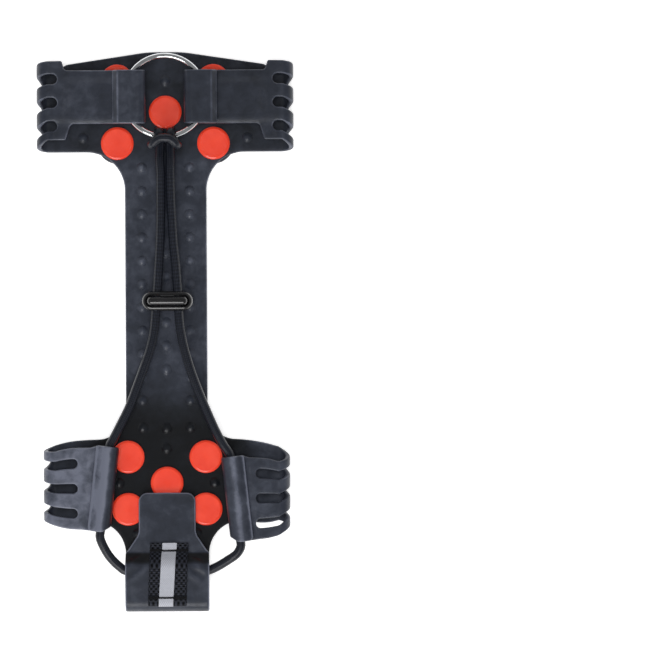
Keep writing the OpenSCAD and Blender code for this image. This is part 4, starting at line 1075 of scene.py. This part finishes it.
def slab(outline, low, high, edge=0.7):
    """Flat plate with a rounded rim between two heights."""
    lines = [np.arange(a, b, 2.0) for a, b in zip(outline.min(0), outline.max(0))]
    flat, drop, face, faces = plate([outline], lines, edge=edge)
    return np.column_stack([flat, np.where(face == 0, high - drop, low + drop)]), faces, None


def diamonds(y, w, h, group):
    """Staggered rows of pyramids with cut tops, which meet at their side tips."""
    pitch, row, low, high = 6.0, 5.3, SOLE_BOTTOM - 0.5, SOLE_BOTTOM - 2.0
    j, i = np.meshgrid(np.arange(-5, 6), np.arange(-8, 9), indexing="ij")
    c = np.stack([(i + 0.5 * (j % 2)) * pitch, j * row + y], -1).reshape(-1, 2)
    fits = np.hypot(c[:, 0] / (w / 2 - 2.2), (c[:, 1] - y) / (h / 2 - 1.6)) < 1
    for stud in group:
        fits &= np.linalg.norm(c - stud, axis=1) > 9.6
    c = c[fits]
    base = np.array([(-3.0, 0), (0, -2.3), (3.0, 0), (0, 2.3)])
    rings = [np.concatenate([base * k, np.full((4, 1), z)], 1) for k, z in
             ((1.0, low), (0.97, low - 0.4), (0.62, high + 0.12), (0.5, high))]
    one, faces, _ = grid(np.array(rings), wrap=True, ends=True)
    centre = np.concatenate([c, np.zeros((len(c), 1))], 1)
    points = (one[None] + centre[:, None]).reshape(-1, 3)
    return points, [[i + k * len(one) for i in f] for k in range(len(c)) for f in faces], None


def tread_pad(end, y, w, h, group):
    """Pad of the tread: a flat plate with holes for the collars, and the diamonds on it."""
    holes = [np.array(c) + (COLLAR_R + 0.5) * circle(36) for c in group]
    lines = (np.arange(-44, 44, 2.0), np.arange(y - 30, y + 30, 2.0))
    flat, drop, face, faces = plate([pad_outline(y, w, h, group, -0.1), *holes], lines, edge=0.3, rounds=3)
    base = np.column_stack([flat, np.where(face == 0, SOLE_BOTTOM + 0.1 - drop, SOLE_BOTTOM - 0.8 + drop)])
    made = piece("tread_pad_" + end, [(base, faces, None), diamonds(y, w, h, group)], TREAD,
                 "base", sharp=25)
    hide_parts("tread_pad_" + end)


CHEVRON_HALF, CHEVRON_PEAK, CHEVRON_DEPTH, CHEVRON_PITCH, CHEVRON_TOP = 19.4, 12, 9.4, 11, 83.0


def chevron(y):
    """Ridge with two peaks: a section carried across the waist, along a zigzag whose turns are rounded
    by a running mean, and which fades into the sole at both ends."""
    x = np.linspace(-CHEVRON_HALF, CHEVRON_HALF, 97)
    zig = -CHEVRON_DEPTH * np.abs(np.abs(x) - CHEVRON_PEAK) / CHEVRON_PEAK
    for _ in range(8):
        zig[1:-1] = (zig[:-2] + 2 * zig[1:-1] + zig[2:]) / 4
    across = np.array([0.9, 0.5, 0.2, -0.3, -1.9, -2.5, -3.0, -3.9])
    depth = np.array([-0.4, 0.5, 1.7, 2.15, 2.2, 1.9, 1.0, -0.4])
    fade = smooth((CHEVRON_HALF - np.abs(x)) / 1.6)[:, None]
    points = np.stack(np.broadcast_arrays(x[:, None], y + zig[:, None] + across,
                                          SOLE_BOTTOM - (depth + 0.4) * fade + 0.4), -1)
    return grid(points, wrap=True, ends=True)


sole_parts = []
for end, *pad in (("front", FRONT_Y, 86, 57, STUDS[:5]), ("heel", HEEL_Y, 72, 48, STUDS[5:])):
    sole_parts += [rim(*pad), slab(pad_outline(*pad, RIM_W - 0.1), SOLE_BOTTOM + 0.02, 7.6)]
    tread_pad(end, *pad)
sole_parts += [chevron(CHEVRON_TOP - CHEVRON_PITCH * i) for i in range(11)]
piece("sole_tread", [(p, f, None) for p, f, _ in sole_parts], RUBBER, "base", sharp=35,
      bloom_and_painted_light=0.6)


# Cord lock: body with a slot for the strands, and the sprung button in it

LOCK_X, LOCK_Y, LOCK_BOTTOM, LOCK_TOP, BUTTON_TOP = 0.9, 15.9, 11.1, 23.4, 26.3
PASSAGE_R, PASSAGE_HALF, PASSAGE_LOW = 2.7, 9.2, 16.7
BUTTON_W, BUTTON_H, BUTTON_CROWN = 21.0, 4.6, 2.3


def oblong(w, h, z, count=72):
    """Oblong with half-circle ends, walked round at even angles of its ends."""
    a, r = around(count), h / 2
    return np.stack([LOCK_X + np.sign(np.cos(a)) * (w / 2 - r) + r * np.cos(a), LOCK_Y + r * np.sin(a),
                     np.full(count, z)], -1)


def stack(levels):
    """Closed shape through oblongs (width, height, z), one above the other."""
    return grid(np.array([oblong(w, h, z) for w, h, z in levels]), wrap=True, ends=True, size=(30.0, 60.0))


def cut(made, cutter_parts):
    """Takes a closed shape out of a piece and keeps the result as its mesh."""
    tool = piece("cutter", cutter_parts, ACETAL)
    modifier = made.modifiers.new("cut", "BOOLEAN")
    modifier.operation, modifier.solver, modifier.object = "DIFFERENCE", "EXACT", tool
    graph = bpy.context.evaluated_depsgraph_get()
    mesh = bpy.data.meshes.new_from_object(made.evaluated_get(graph))
    made.modifiers.clear()
    old, made.data = made.data, mesh
    mesh.name = made.name
    bpy.data.meshes.remove(old)
    tool_mesh = tool.data
    bpy.data.objects.remove(tool)
    bpy.data.meshes.remove(tool_mesh)
    mesh.set_sharp_from_angle(angle=np.radians(35))


def passage(low, high):
    """Slot along Y for both strands: a section with round corners between two heights."""
    a, r = around(48), PASSAGE_R
    x = LOCK_X + np.sign(np.cos(a)) * (PASSAGE_HALF - r) + r * np.cos(a)
    z = np.where(np.sin(a) > 0, high - r, low + r) + r * np.sin(a)
    rows = [np.stack([x, np.full(48, y), z], -1) for y in (LOCK_Y - 12, LOCK_Y + 12)]
    return grid(np.array(rows), wrap=True, ends=True)


lock_body = piece("cord_lock_body", [stack([
    (24.6, 8.4, LOCK_BOTTOM), (25.9, 9.7, LOCK_BOTTOM + 0.3), (26.5, 10.3, LOCK_BOTTOM + 1.2),
    (26.5, 10.3, LOCK_TOP - 2.6), (26.3, 10.1, LOCK_TOP - 1.8), (25.7, 9.5, LOCK_TOP - 1.0),
    (24.8, 8.6, LOCK_TOP - 0.4), (23.8, 7.6, LOCK_TOP - 0.08), (23.0, 6.8, LOCK_TOP),
    (22.2, 6.0, LOCK_TOP - 0.25), (21.6, 5.2, LOCK_TOP - 0.9), (21.6, 5.2, 12.3)])],
    ACETAL, "lock")
cut(lock_body, [passage(PASSAGE_LOW, 22.1)])
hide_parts("cord_lock_body")
button_crown = [(BUTTON_W - BUTTON_H * (1 - np.cos(a)), BUTTON_H * np.cos(a),
                 BUTTON_TOP - BUTTON_CROWN * (1 - np.sin(a))) for a in np.radians(np.linspace(0, 86, 10))]
button = piece("cord_lock_button", [stack([(BUTTON_W - 0.6, BUTTON_H - 0.6, 15.3), (BUTTON_W, BUTTON_H, 15.6),
                                           *button_crown])], ACETAL, "button")
cut(button, [passage(PASSAGE_LOW, 24.1)])
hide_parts("cord_lock_button")
for name in ("cord_crimp", "cord_lock_spring"):
    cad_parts[name].data.materials.clear()
    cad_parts[name].data.materials.append(STEEL)


# Floor, light and picture settings

def paper_floor(half, low):
    """Square of matte paper with a faint tooth. It glows a little for the rays of the camera, of mirrors
    and of glass, so that it shows as white and keeps the shadow."""
    glow, tooth_mm = 0.55, 10 / 3
    m, shader = finish_of("paper_floor", Roughness=0.9, Emission_Color=(1, 1, 1, 1))
    rays = node(m, "ShaderNodeLightPath").outputs
    seen = rays["Is Camera Ray"]
    for kind in ("Is Glossy Ray", "Is Transmission Ray"):
        seen = node(m, "ShaderNodeMath", {0: seen, 1: rays[kind]}, operation="ADD").outputs[0]
    lift = node(m, "ShaderNodeMath", {0: seen, 1: glow}, operation="MULTIPLY")
    link(m, lift.outputs[0], shader.inputs["Emission Strength"])
    place = node(m, "ShaderNodeTexCoord").outputs["Object"]
    tooth = node(m, "ShaderNodeTexNoise", {"Vector": place, "Scale": 1 / (tooth_mm * MM)})
    paper = node(m, "ShaderNodeValToRGB", {"Fac": tooth.outputs["Fac"]}, [(0.3, "#f6f6f6"), (0.7, "#fafafa")])
    link(m, paper.outputs["Color"], shader.inputs["Base Color"])
    mesh = bpy.data.meshes.new("floor")
    mesh.from_pydata([(-half, -half, low), (half, -half, low), (half, half, low), (-half, half, low)], [],
                     [(0, 1, 2, 3)])
    mesh.materials.append(m)
    floor = bpy.data.objects.new("floor", mesh)
    bpy.context.scene.collection.objects.link(floor)


def lamp(name, place, size, power):
    """Round softbox, turned towards the cleat."""
    data = bpy.data.lights.new(name, "AREA")
    data.shape, data.size, data.energy = "DISK", size, power
    made = bpy.data.objects.new(name, data)
    made.location = place
    made.rotation_euler = (-Vector(place)).to_track_quat("-Z", "Y").to_euler()
    bpy.context.scene.collection.objects.link(made)
    return made


def studio_dome():
    """World that is pale at the horizon and darker overhead, so that edges turned outwards are paler."""
    world = bpy.data.worlds.new("studio")
    world.use_nodes = True
    sky = world.node_tree.nodes["Background"].inputs
    way = node(world, "ShaderNodeTexCoord").outputs["Generated"]
    height = node(world, "ShaderNodeSeparateXYZ", {"Vector": way}).outputs["Z"]
    dome = node(world, "ShaderNodeMapRange", {"Value": height, "From Max": 0.35, "To Min": 0.9,
                                              "To Max": 0.25})
    link(world, dome.outputs["Result"], sky["Strength"])
    sky["Color"].default_value = (1, 1, 1, 1)
    bpy.context.scene.world = world


paper_floor(3, -0.0002)
lamp("key", (-0.35, -1.45, 1.3), 1.3, 20.5)
# Overhead softbox, polarised away from what is glossy
lamp("overhead", (0, 0.02, 1.9), 0.9, 16.5).visible_glossy = False
studio_dome()
bpy.context.scene.view_settings.view_transform = "Standard"
